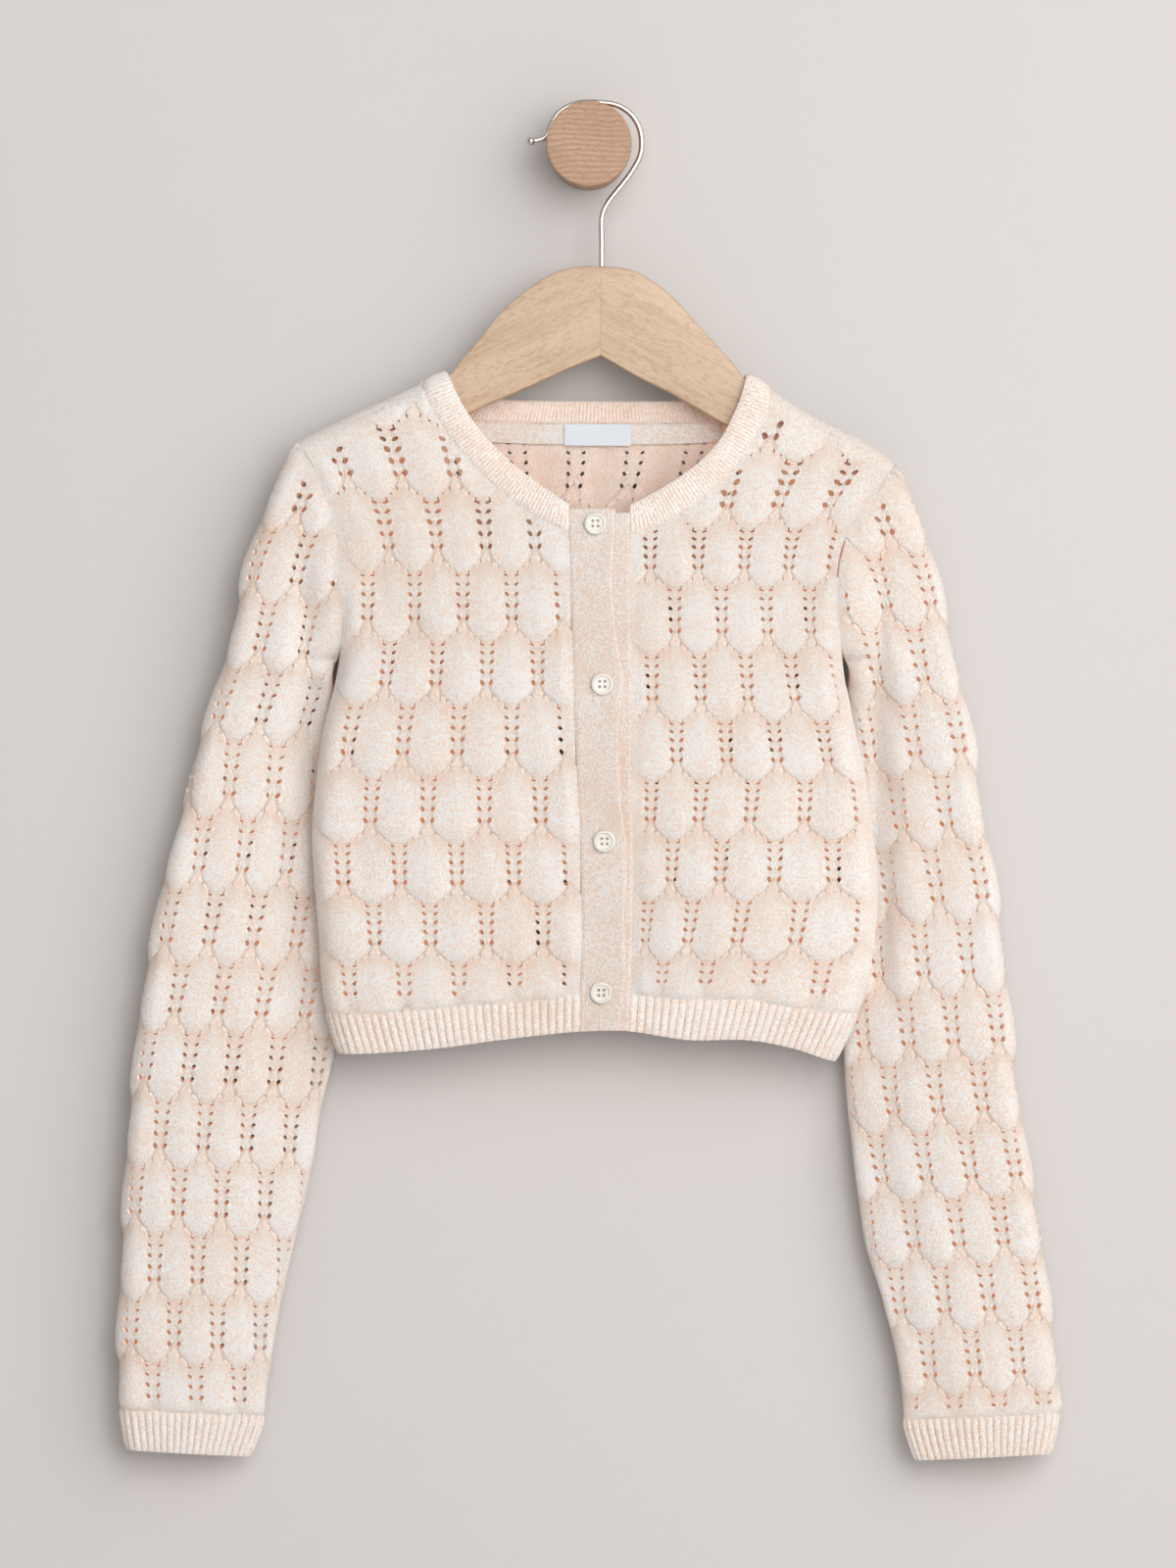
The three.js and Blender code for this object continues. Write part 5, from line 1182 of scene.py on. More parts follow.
HANGER_ARMS = {
    "right": {
        "upper": table([
            (6, -62), (-6, -62.4), (-19, -66), (-33, -75), (-44.5, -85), (-57, -100.5), (-68, -113.2),
            (-71, -118.8),
        ], "z"),
        "lower": table([
            (6, -107.6), (-11, -114.5), (-29, -122.8), (-49.5, -131.5), (-62, -137.4), (-80, -143.6),
            (-100, -150), (-120, -157.5), (-137, -163), (-143.5, -161.5), (-145, -158),
        ], "z"),
        "cloth_from": -71.0, "tip": (-145.0, -156.4),
    },
    "left": {
        "upper": table([
            (6, -62), (22, -64), (34.5, -71), (45, -80), (57.5, -94), (69, -106.8), (76.2, -115),
            (78.6, -120.4),
        ], "z"),
        "lower": table([
            (6, -107.6), (24.5, -118.3), (42.3, -127), (57.5, -136), (71.7, -143.8), (88, -151),
            (108, -158.4), (128, -166), (144.5, -172.2), (150, -171), (151.5, -168),
        ], "z"),
        "cloth_from": 78.6, "tip": (151.5, -166.2),
    },
}
HOOK_PATH = [
    (6.5, -61.6), (6.5, -48), (6.6, -36.5), (9.4, -29.6), (14.4, -23), (20, -16), (25.2, -7.5), (27, 0),
    (25.8, 9), (21.4, 16.2), (14, 20.9), (4.5, 22.2), (-6, 21.8), (-15, 17.4), (-19.6, 10.6),
    (-21.8, 5.2), (-25, 3.2), (-29.7, 2.4),
]
BUTTON_PLACES = ((3.2, -194.2), (6.7, -275.9), (7.8, -355.6), (6.2, -432.5))


def start_piece(name):
    """Names the primitive just added and opens it in edit mode."""
    piece = bpy.context.object
    piece.name = name
    piece.data.name = name
    bpy.ops.object.mode_set(mode="EDIT")
    bpy.ops.mesh.select_mode(type="FACE")
    bpy.ops.mesh.select_all(action="DESELECT")
    return piece


def edit_mesh(piece):
    """The piece's mesh as it stands in edit mode."""
    shape = bmesh.from_edit_mesh(piece.data)
    shape.faces.ensure_lookup_table()
    shape.verts.ensure_lookup_table()
    return shape


def draw_out(piece, sections):
    """Sets the piece's one face on the first section, and extrudes it through the others."""
    shape = edit_mesh(piece)
    for loop, place in zip(shape.faces[0].loops, sections[0]):
        loop.vert.co = place
    face = shape.faces[0]
    face.select = True
    shape.faces.active = face
    bmesh.update_edit_mesh(piece.data)
    for section in sections[1:]:
        bpy.ops.mesh.extrude_region_move(TRANSFORM_OT_translate={"value": (0, 0, 0)})
        shape = edit_mesh(piece)
        face = next(each for each in shape.faces if each.select)
        order = [loop.vert for loop in face.loops]
        start = min(range(len(order)), key=lambda number: (order[number].co - section[0]).length)
        order = order[start:] + order[:start]
        ahead = (order[1].co - section[1]).length + (order[-1].co - section[-1]).length
        behind = (order[-1].co - section[1]).length + (order[1].co - section[-1]).length
        if behind < ahead:
            order = [order[0]] + order[:0:-1]
        for vertex, place in zip(order, section):
            vertex.co = place
        bmesh.update_edit_mesh(piece.data)


def bevel_edges(piece, wanted, **bevel):
    """Bevels the edges whose two ends pass a test."""
    bpy.ops.mesh.select_mode(type="EDGE")
    bpy.ops.mesh.select_all(action="DESELECT")
    shape = edit_mesh(piece)
    for edge in shape.edges:
        if wanted(*(vertex.co for vertex in edge.verts)):
            edge.select = True
    bmesh.update_edit_mesh(piece.data)
    bpy.ops.mesh.bevel(**bevel)


def close_edit(piece, angle=40.0):
    """Turns the faces out, leaves edit mode and smooths what bends by less than an angle."""
    bpy.ops.mesh.select_all(action="SELECT")
    bpy.ops.mesh.normals_make_consistent(inside=False)
    bpy.ops.object.mode_set(mode="OBJECT")
    bpy.ops.object.shade_smooth_by_angle(angle=math.radians(angle))
    return piece


def settle(piece):
    """Puts the piece's place into its mesh, so that its object stands at the origin."""
    select_only(piece)
    bpy.ops.object.transform_apply(location=True, rotation=True, scale=True)


def arm_section(side, x):
    """The four corners of an arm across x, before its long edges are rounded."""
    arm = HANGER_ARMS[side]
    inside = abs(x) > abs(arm["cloth_from"])
    corner = sum(math.exp(-((x - place) / CORNER_REACH) ** 2) for place in NECK_CORNERS)
    under_cloth = float(shoulder_z(x)) - HANGER_DROP - CORNER_DROP * corner
    upper = under_cloth if inside else float(arm["upper"](x, "z"))
    if inside and abs(x) > abs(arm["tip"][0]) - TIP_LENGTH:
        share = (abs(x) - abs(arm["tip"][0]) + TIP_LENGTH) / TIP_LENGTH
        upper = lerp(upper, arm["tip"][1], share ** 2)
    lower = float(arm["lower"](x, "z"))
    near, far = (HANGER_Y - HANGER_THICK / 2) * MM, (HANGER_Y + HANGER_THICK / 2) * MM
    corners = ((near, upper), (near, lower), (far, lower), (far, upper))
    return [Vector((x * MM, y, z * MM)) for y, z in corners]


def hanger_arm(side):
    """One arm of the hanger, drawn out from the joint to its tip, with its long edges rounded."""
    outward = outward_of(side)
    tip_x = HANGER_ARMS[side]["tip"][0]
    first = HANGER_JOINT_X + outward * JOINT_GAP
    stations = [first] + [lerp(first, tip_x, step / ARM_STATIONS) for step in range(1, ARM_STATIONS + 1)]
    bpy.ops.object.select_all(action="DESELECT")
    bpy.ops.mesh.primitive_plane_add(size=0.01, location=(0, 0, 0))
    piece = start_piece("hanger_arm_" + side + "_beech")
    draw_out(piece, [arm_section(side, x) for x in stations])
    bpy.ops.mesh.select_all(action="SELECT")
    bpy.ops.mesh.normals_make_consistent(inside=False)

    def long_or_tip(start, end):
        runs = abs(start.x - end.x) > SAME_PLACE
        return runs or min(abs(start.x - tip_x * MM), abs(end.x - tip_x * MM)) < SAME_PLACE

    bevel_edges(piece, long_or_tip, offset=wood().rounding, segments=4, profile=0.5, clamp_overlap=True)
    return close_edit(piece)


def round_wire(path, radius, sides=16):
    """Rings square to a route, for a wire of one plane."""
    points = [Vector((x * MM, HANGER_Y * MM, z * MM)) for x, z in path]
    square = Vector((0, 1, 0))
    turns = [2 * math.pi * step / sides for step in range(sides)]
    rings = []
    for number, point in enumerate(points):
        before = points[max(number - 1, 0)]
        after = points[min(number + 1, len(points) - 1)]
        along = (after - before).normalized()
        aside = along.cross(square).normalized()
        rings.append([
            point + (aside * math.cos(turn) + square * math.sin(turn)) * radius * MM for turn in turns])
    return rings


def smooth_route(points, cuts):
    """A route through all the points, eased between them."""
    read = table([(number, x, z) for number, (x, z) in enumerate(points)], "x", "z")
    numbers = np.linspace(0, len(points) - 1, (len(points) - 1) * cuts + 1)
    return list(zip(read(numbers, "x"), read(numbers, "z")))


def hook_piece():
    """The hanger's wire hook, drawn out along its path, with a ball joined to its end."""
    rings = round_wire(smooth_route(HOOK_PATH, 6), HOOK_RADIUS)
    bpy.ops.object.select_all(action="DESELECT")
    bpy.ops.mesh.primitive_circle_add(vertices=len(rings[0]), radius=HOOK_RADIUS * MM, fill_type="NGON")
    piece = start_piece("hook_wire")
    draw_out(piece, rings)
    close_edit(piece)
    end_x, end_z = HOOK_PATH[-1]
    bpy.ops.object.select_all(action="DESELECT")
    bpy.ops.mesh.primitive_uv_sphere_add(
        segments=32, ring_count=20, radius=HOOK_BALL * MM, location=(end_x * MM, HANGER_Y * MM, end_z * MM))
    ball = bpy.context.object
    bpy.ops.object.shade_smooth()
    select_only(piece)
    ball.select_set(True)
    bpy.ops.object.join()
    settle(piece)
    return piece


def peg_piece():
    """The wall peg: a turned stem, and a wider disc in front of it."""
    bpy.ops.object.select_all(action="DESELECT")
    depth = -(PEG_FRONT + PEG_DISC)
    bpy.ops.mesh.primitive_cylinder_add(
        vertices=96, radius=PEG_STEM * MM, depth=depth * MM, location=(0, -depth * MM / 2, 0),
        rotation=(math.pi / 2, 0, 0))
    settle(bpy.context.object)
    piece = start_piece("wall_peg_turned")
    shape = edit_mesh(piece)
    front = min(shape.faces, key=lambda face: face.calc_center_median().y)
    front.select = True
    bmesh.update_edit_mesh(piece.data)
    bpy.ops.mesh.extrude_region_move(TRANSFORM_OT_translate={"value": (0, 0, 0)})
    widen = PEG_RADIUS / PEG_STEM
    bpy.ops.transform.resize(value=(widen, 1, widen), center_override=(0, -depth * MM, 0))
    bpy.ops.mesh.extrude_region_move(TRANSFORM_OT_translate={"value": (0, -PEG_DISC * MM, 0)})

    def disc_rim(start, end):
        at_rim = min(start.xz.length, end.xz.length) > (PEG_RADIUS - RIM_CATCH) * MM
        return at_rim and abs(start.y - end.y) < SAME_PLACE

    bevel_edges(piece, disc_rim, offset=PEG_ROUNDING * MM, segments=4, profile=0.6)
    return close_edit(piece)


def button_master():
    """A turned four-hole button at the origin, with its back on Z = 0."""
    bpy.ops.object.select_all(action="DESELECT")
    bpy.ops.mesh.primitive_cylinder_add(
        vertices=64, radius=BUTTON_RADIUS * MM, depth=BUTTON_THICK * MM,
        location=(0, 0, BUTTON_THICK * MM / 2))
    settle(bpy.context.object)
    piece = start_piece("button_master")
    shape = edit_mesh(piece)
    top = max(shape.faces, key=lambda face: face.calc_center_median().z)
    top.select = True
    bmesh.update_edit_mesh(piece.data)
    bpy.ops.mesh.inset(thickness=BUTTON_RIM * MM)
    bpy.ops.mesh.inset(thickness=BUTTON_SLOPE * MM)
    bpy.ops.transform.translate(value=(0, 0, -BUTTON_DISH * MM))
    bpy.ops.mesh.inset(thickness=BUTTON_WELL * MM)
    bpy.ops.transform.translate(value=(0, 0, -BUTTON_WELL_DEPTH * MM))

    def outer_rims(start, end):
        at_rim = min(start.xy.length, end.xy.length) > (BUTTON_RADIUS - RIM_CATCH / 10) * MM
        return at_rim and abs(start.z - end.z) < SAME_PLACE / 10

    bevel_edges(piece, outer_rims, offset=BUTTON_ROUNDING * MM, segments=5, profile=0.5)
    bpy.ops.object.mode_set(mode="OBJECT")
    for across, up in ((1, 1), (1, -1), (-1, 1), (-1, -1)):
        bpy.ops.object.select_all(action="DESELECT")
        bpy.ops.mesh.primitive_cylinder_add(
            vertices=20, radius=BUTTON_HOLE * MM, depth=6 * MM,
            location=(across * BUTTON_HOLE_AT * MM, up * BUTTON_HOLE_AT * MM, 0))
        drill = bpy.context.object
        select_only(piece)
        cut = piece.modifiers.new("Drill", "BOOLEAN")
        cut.object = drill
        cut.solver = "EXACT"
        bpy.ops.object.modifier_apply(modifier=cut.name)
        bpy.data.objects.remove(drill)
    bpy.ops.object.shade_smooth_by_angle(angle=math.radians(35))
    return piece


def sewn_buttons():
    """Four buttons on the upper band, each copied from the master and turned square to the cloth."""
    master = button_master()
    pieces = []
    for number, (x, z) in enumerate(BUTTON_PLACES):
        at, out = body_points(x, z, FRONT, 0)
        lift = PLACKET_CLOTH / MM / 2 + BUTTON_LIFT
        seat = Vector((at + np.array([0, -LAP, 0]) + out * lift).tolist()) * MM
        mesh = master.data.copy()
        turn = Vector(out.tolist()).to_track_quat("Z", "X").to_matrix().to_4x4()
        turn.translation = seat
        mesh.transform(turn)
        piece = bpy.data.objects.new(f"button_{number + 1}_turned", mesh)
        bpy.context.scene.collection.objects.link(piece)
        pieces.append(piece)
    bpy.data.objects.remove(master)
    return pieces


# ---------------------------------------------------------------- finishes
class Finish:
    """A node material under construction: sockets or plain numbers go in, sockets come out."""

    def __init__(self, name):
        self.material = bpy.data.materials.new(name)
        self.material.use_nodes = True
        self.tree = self.material.node_tree
        self.shader = self.tree.nodes["Principled BSDF"]

    def node(self, kind, settings=None, **inputs):
        made = self.tree.nodes.new(kind)
        for key, value in (settings or {}).items():
            setattr(made, key, value)
        for key, value in inputs.items():
            self.feed(made.inputs[key.replace("_", " ")], value)
        return made

    def feed(self, socket, value):
        if isinstance(value, bpy.types.NodeSocket):
            self.tree.links.new(value, socket)
        elif isinstance(value, (int, float)):
            socket.default_value = value
        else:
            value = tuple(value)
            size = len(socket.default_value)
            socket.default_value = value if len(value) == size else value + (1.0,)

    def sum_of(self, *parts):
        """Adds up pairs of a value and its weight."""
        total = self.math("MULTIPLY", *parts[0])
        for part in parts[1:]:
            total = self.math("ADD", total, self.math("MULTIPLY", *part))
        return total

    def math(self, operation, *values):
        made = self.node("ShaderNodeMath", {"operation": operation})
        for socket, value in zip(made.inputs, values):
            self.feed(socket, value)
        return made.outputs[0]

    def vector(self, operation, first, second):
        made = self.node("ShaderNodeVectorMath", {"operation": operation})
        self.feed(made.inputs[0], first)
        self.feed(made.inputs[1], second)
        return made.outputs[0]

    def noise(self, vector, scale, detail=2.0, rough=0.5, dimensions="3D"):
        return self.node("ShaderNodeTexNoise", {"noise_dimensions": dimensions},
                         Vector=vector, Scale=scale, Detail=detail, Roughness=rough).outputs["Fac"]

    def ramp(self, value, low, high, low_out=0.0, high_out=1.0):
        made = self.node("ShaderNodeMapRange", {"interpolation_type": "SMOOTHSTEP"},
                         From_Min=low, From_Max=high, To_Min=low_out, To_Max=high_out)
        self.feed(made.inputs["Value"], value)
        return made.outputs["Result"]

    def mix(self, share, first, second, blend="MIX"):
        made = self.node("ShaderNodeMix", {"data_type": "RGBA", "blend_type": blend})
        self.feed(made.inputs[0], share)
        self.feed(made.inputs[6], first)
        self.feed(made.inputs[7], second)
        return made.outputs[2]

    def attribute(self, name):
        return self.node("ShaderNodeAttribute", {"attribute_name": name}).outputs["Fac"]

    def split(self, vector):
        return self.node("ShaderNodeSeparateXYZ", Vector=vector).outputs

    def join(self, x, y, z):
        return self.node("ShaderNodeCombineXYZ", X=x, Y=y, Z=z).outputs[0]

    def place(self):
        return self.node("ShaderNodeTexCoord").outputs["Object"]

    def bump(self, height, distance, strength=1.0, normal=None):
        made = self.node("ShaderNodeBump", Height=height, Distance=distance, Strength=strength)
        if normal:
            self.feed(made.inputs["Normal"], normal)
        return made.outputs[0]

    def shade(self, **inputs):
        for key, value in inputs.items():
            self.feed(self.shader.inputs[key.replace("_", " ")], value)
        return self.material


def tinted(colour, *tints):
    """A colour with its channels multiplied by three numbers, or all of them by one."""
    if len(tints) == 1:
        tints = tints * 3
    return tuple(channel * tint for channel, tint in zip(colour, tints))


def ridge(finish, share, power):
    """1 where a share is a half, falling to 0 where it is 0 or 1."""
    away = finish.math("SUBTRACT", finish.math("MULTIPLY", share, 2.0), 1.0)
    return finish.math("SUBTRACT", 1.0, finish.math("POWER", finish.math("ABSOLUTE", away), power))


def stitch_height(finish, wale, course):
    """Height of stocking stitch, two slanting legs to each wale, and its courses along the slant."""
    aside = finish.math("SUBTRACT", finish.math("FRACT", wale), 0.5)
    aside = finish.math("MULTIPLY", finish.math("ABSOLUTE", aside), 2.0)
    leg = ridge(finish, aside, 2.2)
    slant = finish.math("ADD", course, finish.math("MULTIPLY", aside, 0.85))
    bead = ridge(finish, finish.math("FRACT", slant), 2.4)
    along_leg = finish.math("ADD", 0.35, finish.math("MULTIPLY", bead, 0.65))
    return finish.math("MULTIPLY", leg, along_leg), slant


def yarn_finish(name, shadow=0.4, relief=0.0005, warmth=2.0, tone=1.0):
    """Marled two-strand yarn, worked in stitches along the piece's own wales and courses.

    Shadow is the strength of the painted shade in the hollows, relief is the stitches' height, warmth
    multiplies the warm strand's share, and tone multiplies both strands' colours. The colour also gets
    painted shade between the stitches, and a painted glow on the inner shell."""
    finish = Finish(name)
    settings = knit()
    light, warm = tinted(settings.yarn_light, tone), tinted(settings.yarn_warm, tone)
    uv = finish.node("ShaderNodeUVMap", {"uv_map": "stitches"}).outputs[0]
    place = finish.place()
    split = finish.split(uv)
    wobble = finish.noise(uv, 0.35, 1.0, dimensions="2D")
    wobble = finish.math("MULTIPLY", finish.math("SUBTRACT", wobble, 0.5), 0.7)
    wale = finish.math("ADD", split[0], wobble)
    course = finish.math("ADD", split[1], wobble)
    height, slant = stitch_height(finish, wale, course)
    strand_place = finish.join(finish.math("MULTIPLY", wale, 1.1), finish.math("MULTIPLY", slant, 0.55), 0.0)
    strand = finish.noise(strand_place, 1.6, 2.0, 0.6)
    speck = finish.noise(place, 830.0, 1.0, 0.6)
    blotch = finish.noise(place, 62.0, 2.0, 0.55)
    patch = finish.noise(place, 17.0, 1.0)
    marl = finish.sum_of((strand, 0.28), (speck, 0.46), (blotch, 0.15), (patch, 0.11))
    share = finish.ramp(marl, 0.455, 0.555, 0.0, warmth * settings.marl)
    colour = finish.mix(share, light, warm)
    # painted shade: the colour is darkened towards a warm shade colour in the hollows and in the gaps between
    # stitches
    shade_colour = tinted(warm, 0.92, 0.76, 0.64)
    hollow_shade = finish.math("MULTIPLY", finish.attribute("cavity"), shadow)
    stitch_gap_shade = finish.math("MULTIPLY", finish.math("SUBTRACT", 1.0, height), 0.08)
    colour = finish.mix(finish.math("MINIMUM", finish.math("ADD", hollow_shade, stitch_gap_shade), 0.9), colour, shade_colour)
    fuzz = finish.noise(place, 1500.0, 3.0, 0.7)
    relief_height = finish.math("ADD", height, finish.math("MULTIPLY", fuzz, 0.35))
    normal = finish.bump(relief_height, relief, 0.75)
    finish.shade(Base_Color=colour, Roughness=0.92, Normal=normal, Specular_IOR_Level=0.12)
    finish.shade(Sheen_Weight=0.3, Sheen_Roughness=0.45, Sheen_Tint=(1.0, 0.93, 0.86))
    finish.shade(Subsurface_Weight=0.25, Subsurface_Radius=(1.0, 0.72, 0.6), Subsurface_Scale=0.0018)
    # painted glow: a warm emission on the inner shell stands in for light filtered through the loose knit
    painted_glow = finish.math("MULTIPLY", finish.attribute("inside"), settings.painted_glow)
    return finish.shade(Emission_Color=(1.0, 0.47, 0.26), Emission_Strength=painted_glow)


ARM_SLOPE = {"right": -25.5, "left": 26.5}  # degrees that an arm's grain runs down to its tip


def beech_finish(side):
    """Lacquered beech with its grain along one arm, short ray flecks and fine pores."""
    finish = Finish("beech_" + side)
    slope = math.radians(ARM_SLOPE[side])
    place = finish.node("ShaderNodeMapping", Vector=finish.place(), Rotation=(0, -slope, 0)).outputs[0]
    base = tuple(wood().beech)
    stretch = finish.vector("MULTIPLY", place, (9.0, 60.0, 60.0))
    broad = finish.noise(stretch, 1.2, 3.0, 0.55)
    fine = finish.noise(finish.vector("MULTIPLY", place, (40.0, 420.0, 420.0)), 1.0, 2.0, 0.6)
    fleck = finish.noise(finish.vector("MULTIPLY", place, (300.0, 1700.0, 1700.0)), 1.0, 0.0)
    colour = finish.mix(finish.ramp(broad, 0.3, 0.7), tinted(base, 1.05), tinted(base, 0.96, 0.92, 0.87))
    colour = finish.mix(finish.ramp(fine, 0.45, 0.70, 0.0, 0.5), colour, tinted(base, 0.78, 0.68, 0.58))
    colour = finish.mix(finish.ramp(fleck, 0.60, 0.70, 0.0, 0.45), colour, tinted(base, 0.62, 0.5, 0.4))
    normal = finish.bump(finish.math("ADD", fine, fleck), 0.00008, 0.5)
    finish.shade(Coat_Weight=0.25, Coat_Roughness=0.3)
    return finish.shade(Base_Color=colour, Roughness=0.42, Normal=normal)


def end_grain_finish():
    """The peg's sawn face: soft growth lines across it and open pores."""
    finish = Finish("peg_beech")
    base = tuple(wood().end_grain)
    place = finish.place()
    bend = finish.join(0.0, 0.0, finish.noise(place, 30.0, 1.0))
    bent = finish.vector("ADD", place, finish.vector("MULTIPLY", bend, (1, 1, 0.006)))
    rings = finish.node("ShaderNodeTexWave", {"bands_direction": "Z"}, Vector=bent, Scale=115.0,
                        Distortion=2.2, Detail=2.0, Detail_Scale=1.6).outputs["Fac"]
    pores = finish.noise(finish.vector("MULTIPLY", place, (420.0, 420.0, 2300.0)), 1.0, 1.0)
    soft = finish.noise(place, 55.0, 2.0)
    dark_lines = finish.ramp(rings, 0.35, 0.95, 0.0, 0.6)
    colour = finish.mix(dark_lines, tinted(base, 1.16), tinted(base, 0.78, 0.66, 0.56))
    colour = finish.mix(finish.ramp(soft, 0.35, 0.7, 0.0, 0.35), colour, tinted(base, 0.86, 0.78, 0.7))
    colour = finish.mix(finish.ramp(pores, 0.58, 0.68, 0.0, 0.6), colour, tinted(base, 0.62, 0.48, 0.4))
    normal = finish.bump(finish.math("ADD", rings, pores), 0.00006, 0.4)
    return finish.shade(Base_Color=colour, Roughness=0.6, Normal=normal)


def steel_finish():
    """Brushed steel of the hook."""
    finish = Finish("brushed_steel")
    streaks = finish.noise(finish.vector("MULTIPLY", finish.place(), (900.0, 900.0, 900.0)), 1.0, 3.0, 0.7)
    tone = finish.noise(finish.place(), 90.0, 2.0)
    rough = finish.ramp(streaks, 0.3, 0.7, 0.24, 0.4)
    colour = finish.mix(tone, (0.60, 0.57, 0.53), (0.74, 0.70, 0.66))
    normal = finish.bump(streaks, 0.00003, 0.4)
    return finish.shade(Base_Color=colour, Metallic=1.0, Roughness=rough, Normal=normal)


def button_finish():
    """Cloudy ivory resin of the buttons."""
    finish = Finish("ivory_resin")
    cloud = finish.noise(finish.place(), 260.0, 3.0, 0.55)
    speck = finish.noise(finish.place(), 2200.0, 1.0)
    colour = finish.mix(finish.ramp(cloud, 0.35, 0.65), (0.77, 0.75, 0.70), (0.70, 0.68, 0.63))
    colour = finish.mix(finish.ramp(speck, 0.6, 0.75, 0.0, 0.15), colour, (0.5, 0.46, 0.38))
    normal = finish.bump(speck, 0.00002, 0.3)
    return finish.shade(Base_Color=colour, Roughness=0.42, Normal=normal, Coat_Weight=0.15)


def satin_finish():
    """Plain woven satin of the blank label."""
    finish = Finish("white_satin")
    uv = finish.node("ShaderNodeUVMap", {"uv_map": "stitches"}).outputs[0]
    split = finish.split(uv)
    rows = finish.math("SINE", finish.math("MULTIPLY", split[1], 26.0))
    floats = finish.noise(finish.vector("MULTIPLY", uv, (2.0, 14.0, 1.0)), 1.4, 2.0, dimensions="2D")
    colour = finish.mix(floats, (0.73, 0.797, 0.855), (0.66, 0.72, 0.77))
    normal = finish.bump(finish.math("ADD", rows, floats), 0.00005, 0.5)
    return finish.shade(Base_Color=colour, Roughness=0.38, Normal=normal, Sheen_Weight=0.3)


def paint_finish(name, colour):
    """Matt wall paint with a roller's faint texture, clear when seen from behind."""
    finish = Finish(name)
    place = finish.place()
    stipple = finish.noise(place, 380.0, 3.0, 0.6)
    cloud = finish.noise(place, 1.6, 2.0)
    shade = finish.mix(cloud, tinted(colour, 0.97), tinted(colour, 1.02))
    finish.shade(Base_Color=shade, Roughness=0.9, Normal=finish.bump(stipple, 0.0002, 0.25))
    behind = finish.node("ShaderNodeNewGeometry").outputs["Backfacing"]
    clear = finish.node("ShaderNodeBsdfTransparent").outputs[0]
    both = finish.tree.nodes.new("ShaderNodeMixShader")
    finish.feed(both.inputs[0], behind)
    finish.feed(both.inputs[1], finish.shader.outputs[0])
    finish.feed(both.inputs[2], clear)
    finish.tree.links.new(both.outputs[0], finish.tree.nodes["Material Output"].inputs["Surface"])
    return finish.material


def shared_finish(name, make, *words):
    """One finish for all the pieces that share it."""
    return bpy.data.materials.get(name) or make(*words)


def yarn():
    """The yarn as it shows in the lace."""
    return shared_finish("lace_yarn", yarn_finish, "lace_yarn")


def band_yarn():
    """The yarn of the button bands: more of the warm strand shows, and both strands are darker."""
    return shared_finish("band_yarn", yarn_finish, "band_yarn", 0.45, 0.0004, 3.0, 0.88)


def rib_yarn():
    """The yarn as it shows in the ribs and the neck tape."""
    return shared_finish("ribbed_yarn", yarn_finish, "ribbed_yarn", 0.36, 0.0004, 2.3, 0.96)


def front_seam(side):
    """Reader of a front's edge beside its button band, at each height."""
    if side == "right":
        return lambda z: placket_edge(z, "seam") - BAND_CLEAR
    return lambda z: placket_edge(z, "under") + BAND_CLEAR


def side_edge(side):
    """Reader of the body's side edge, at each height."""
    return lambda z: edge_x(side, z)


# ---------------------------------------------------------------- one operator for each kind of piece
class SHRUG_OT_knit_fronts(bpy.types.Operator):
    """Knits the two lace fronts, from the button bands round to the side folds"""
    bl_idname = "shrug.knit_fronts"
    bl_label = "Knit the fronts"

    def execute(self, context):
        right = body_panel("front_right", "right", FRONT, -1, front_seam("right"), side_edge("right"), False)
        finish_piece(right, "yarn", yarn(), "front_right")
        left = body_panel("front_left", "left", FRONT, 1, front_seam("left"), side_edge("left"), False)
        finish_piece(left, "yarn", yarn(), "front_left")
        return {"FINISHED"}


class SHRUG_OT_knit_back(bpy.types.Operator):
    """Knits the lace back in one piece"""
    bl_idname = "shrug.knit_back"
    bl_label = "Knit the back"

    def execute(self, context):
        piece = body_panel("back", "back", BACK, 0, side_edge("right"), side_edge("left"), True)
        finish_piece(piece, "yarn", yarn(), "back")
        return {"FINISHED"}


class SHRUG_OT_knit_sleeves(bpy.types.Operator):
    """Knits the two lace sleeves and their ribbed cuffs"""
    bl_idname = "shrug.knit_sleeves"
    bl_label = "Knit the sleeves"

    def execute(self, context):
        for side in SIDES:
            sleeve = sleeve_panel(side)
            finish_piece(sleeve, "yarn", yarn(), "sleeve_" + side)
            cuff = cuff_panel(side)
            finish_piece(cuff, "rib_yarn", rib_yarn(), "cuff_" + side)
        return {"FINISHED"}


class SHRUG_OT_rib_hem(bpy.types.Operator):
    """Ribs the hem of the fronts and of the back"""
    bl_idname = "shrug.rib_hem"
    bl_label = "Rib the hem"

    def execute(self, context):
        right = hem_panel("hem_front_right", [hem_grid(FRONT, -1, "right", front_seam("right"))])
        left = hem_panel("hem_front_left", [hem_grid(FRONT, 1, "left", front_seam("left"))])
        halves = [hem_grid(BACK, 0, side, lambda z: BACK_SPLIT_X + 0 * z) for side in SIDES]
        mirrored = tuple(part[:, ::-1] if part.shape[1] > 1 else part for part in halves[0])
        back = hem_panel("hem_back", [mirrored, halves[1]])
        for piece, node, width in ((right, "hem_front_right", 0.145), (left, "hem_front_left", 0.13),
                                   (back, "hem_back", 0.29)):
            finish_piece(piece, "rib_yarn", rib_yarn(), node)
        return {"FINISHED"}


class SHRUG_OT_sew_bands(bpy.types.Operator):
    """Sews on the neckband and the two button bands"""
    bl_idname = "shrug.sew_bands"
    bl_label = "Sew on the bands"

    def execute(self, context):
        band = neckband_piece()
        finish_piece(band, "rib_yarn", rib_yarn(), "neckband")
        for upper, node in ((False, "placket_left"), (True, "placket_right")):
            piece = placket_piece(upper)
            finish_piece(piece, "rib_yarn", band_yarn(), node)
        return {"FINISHED"}


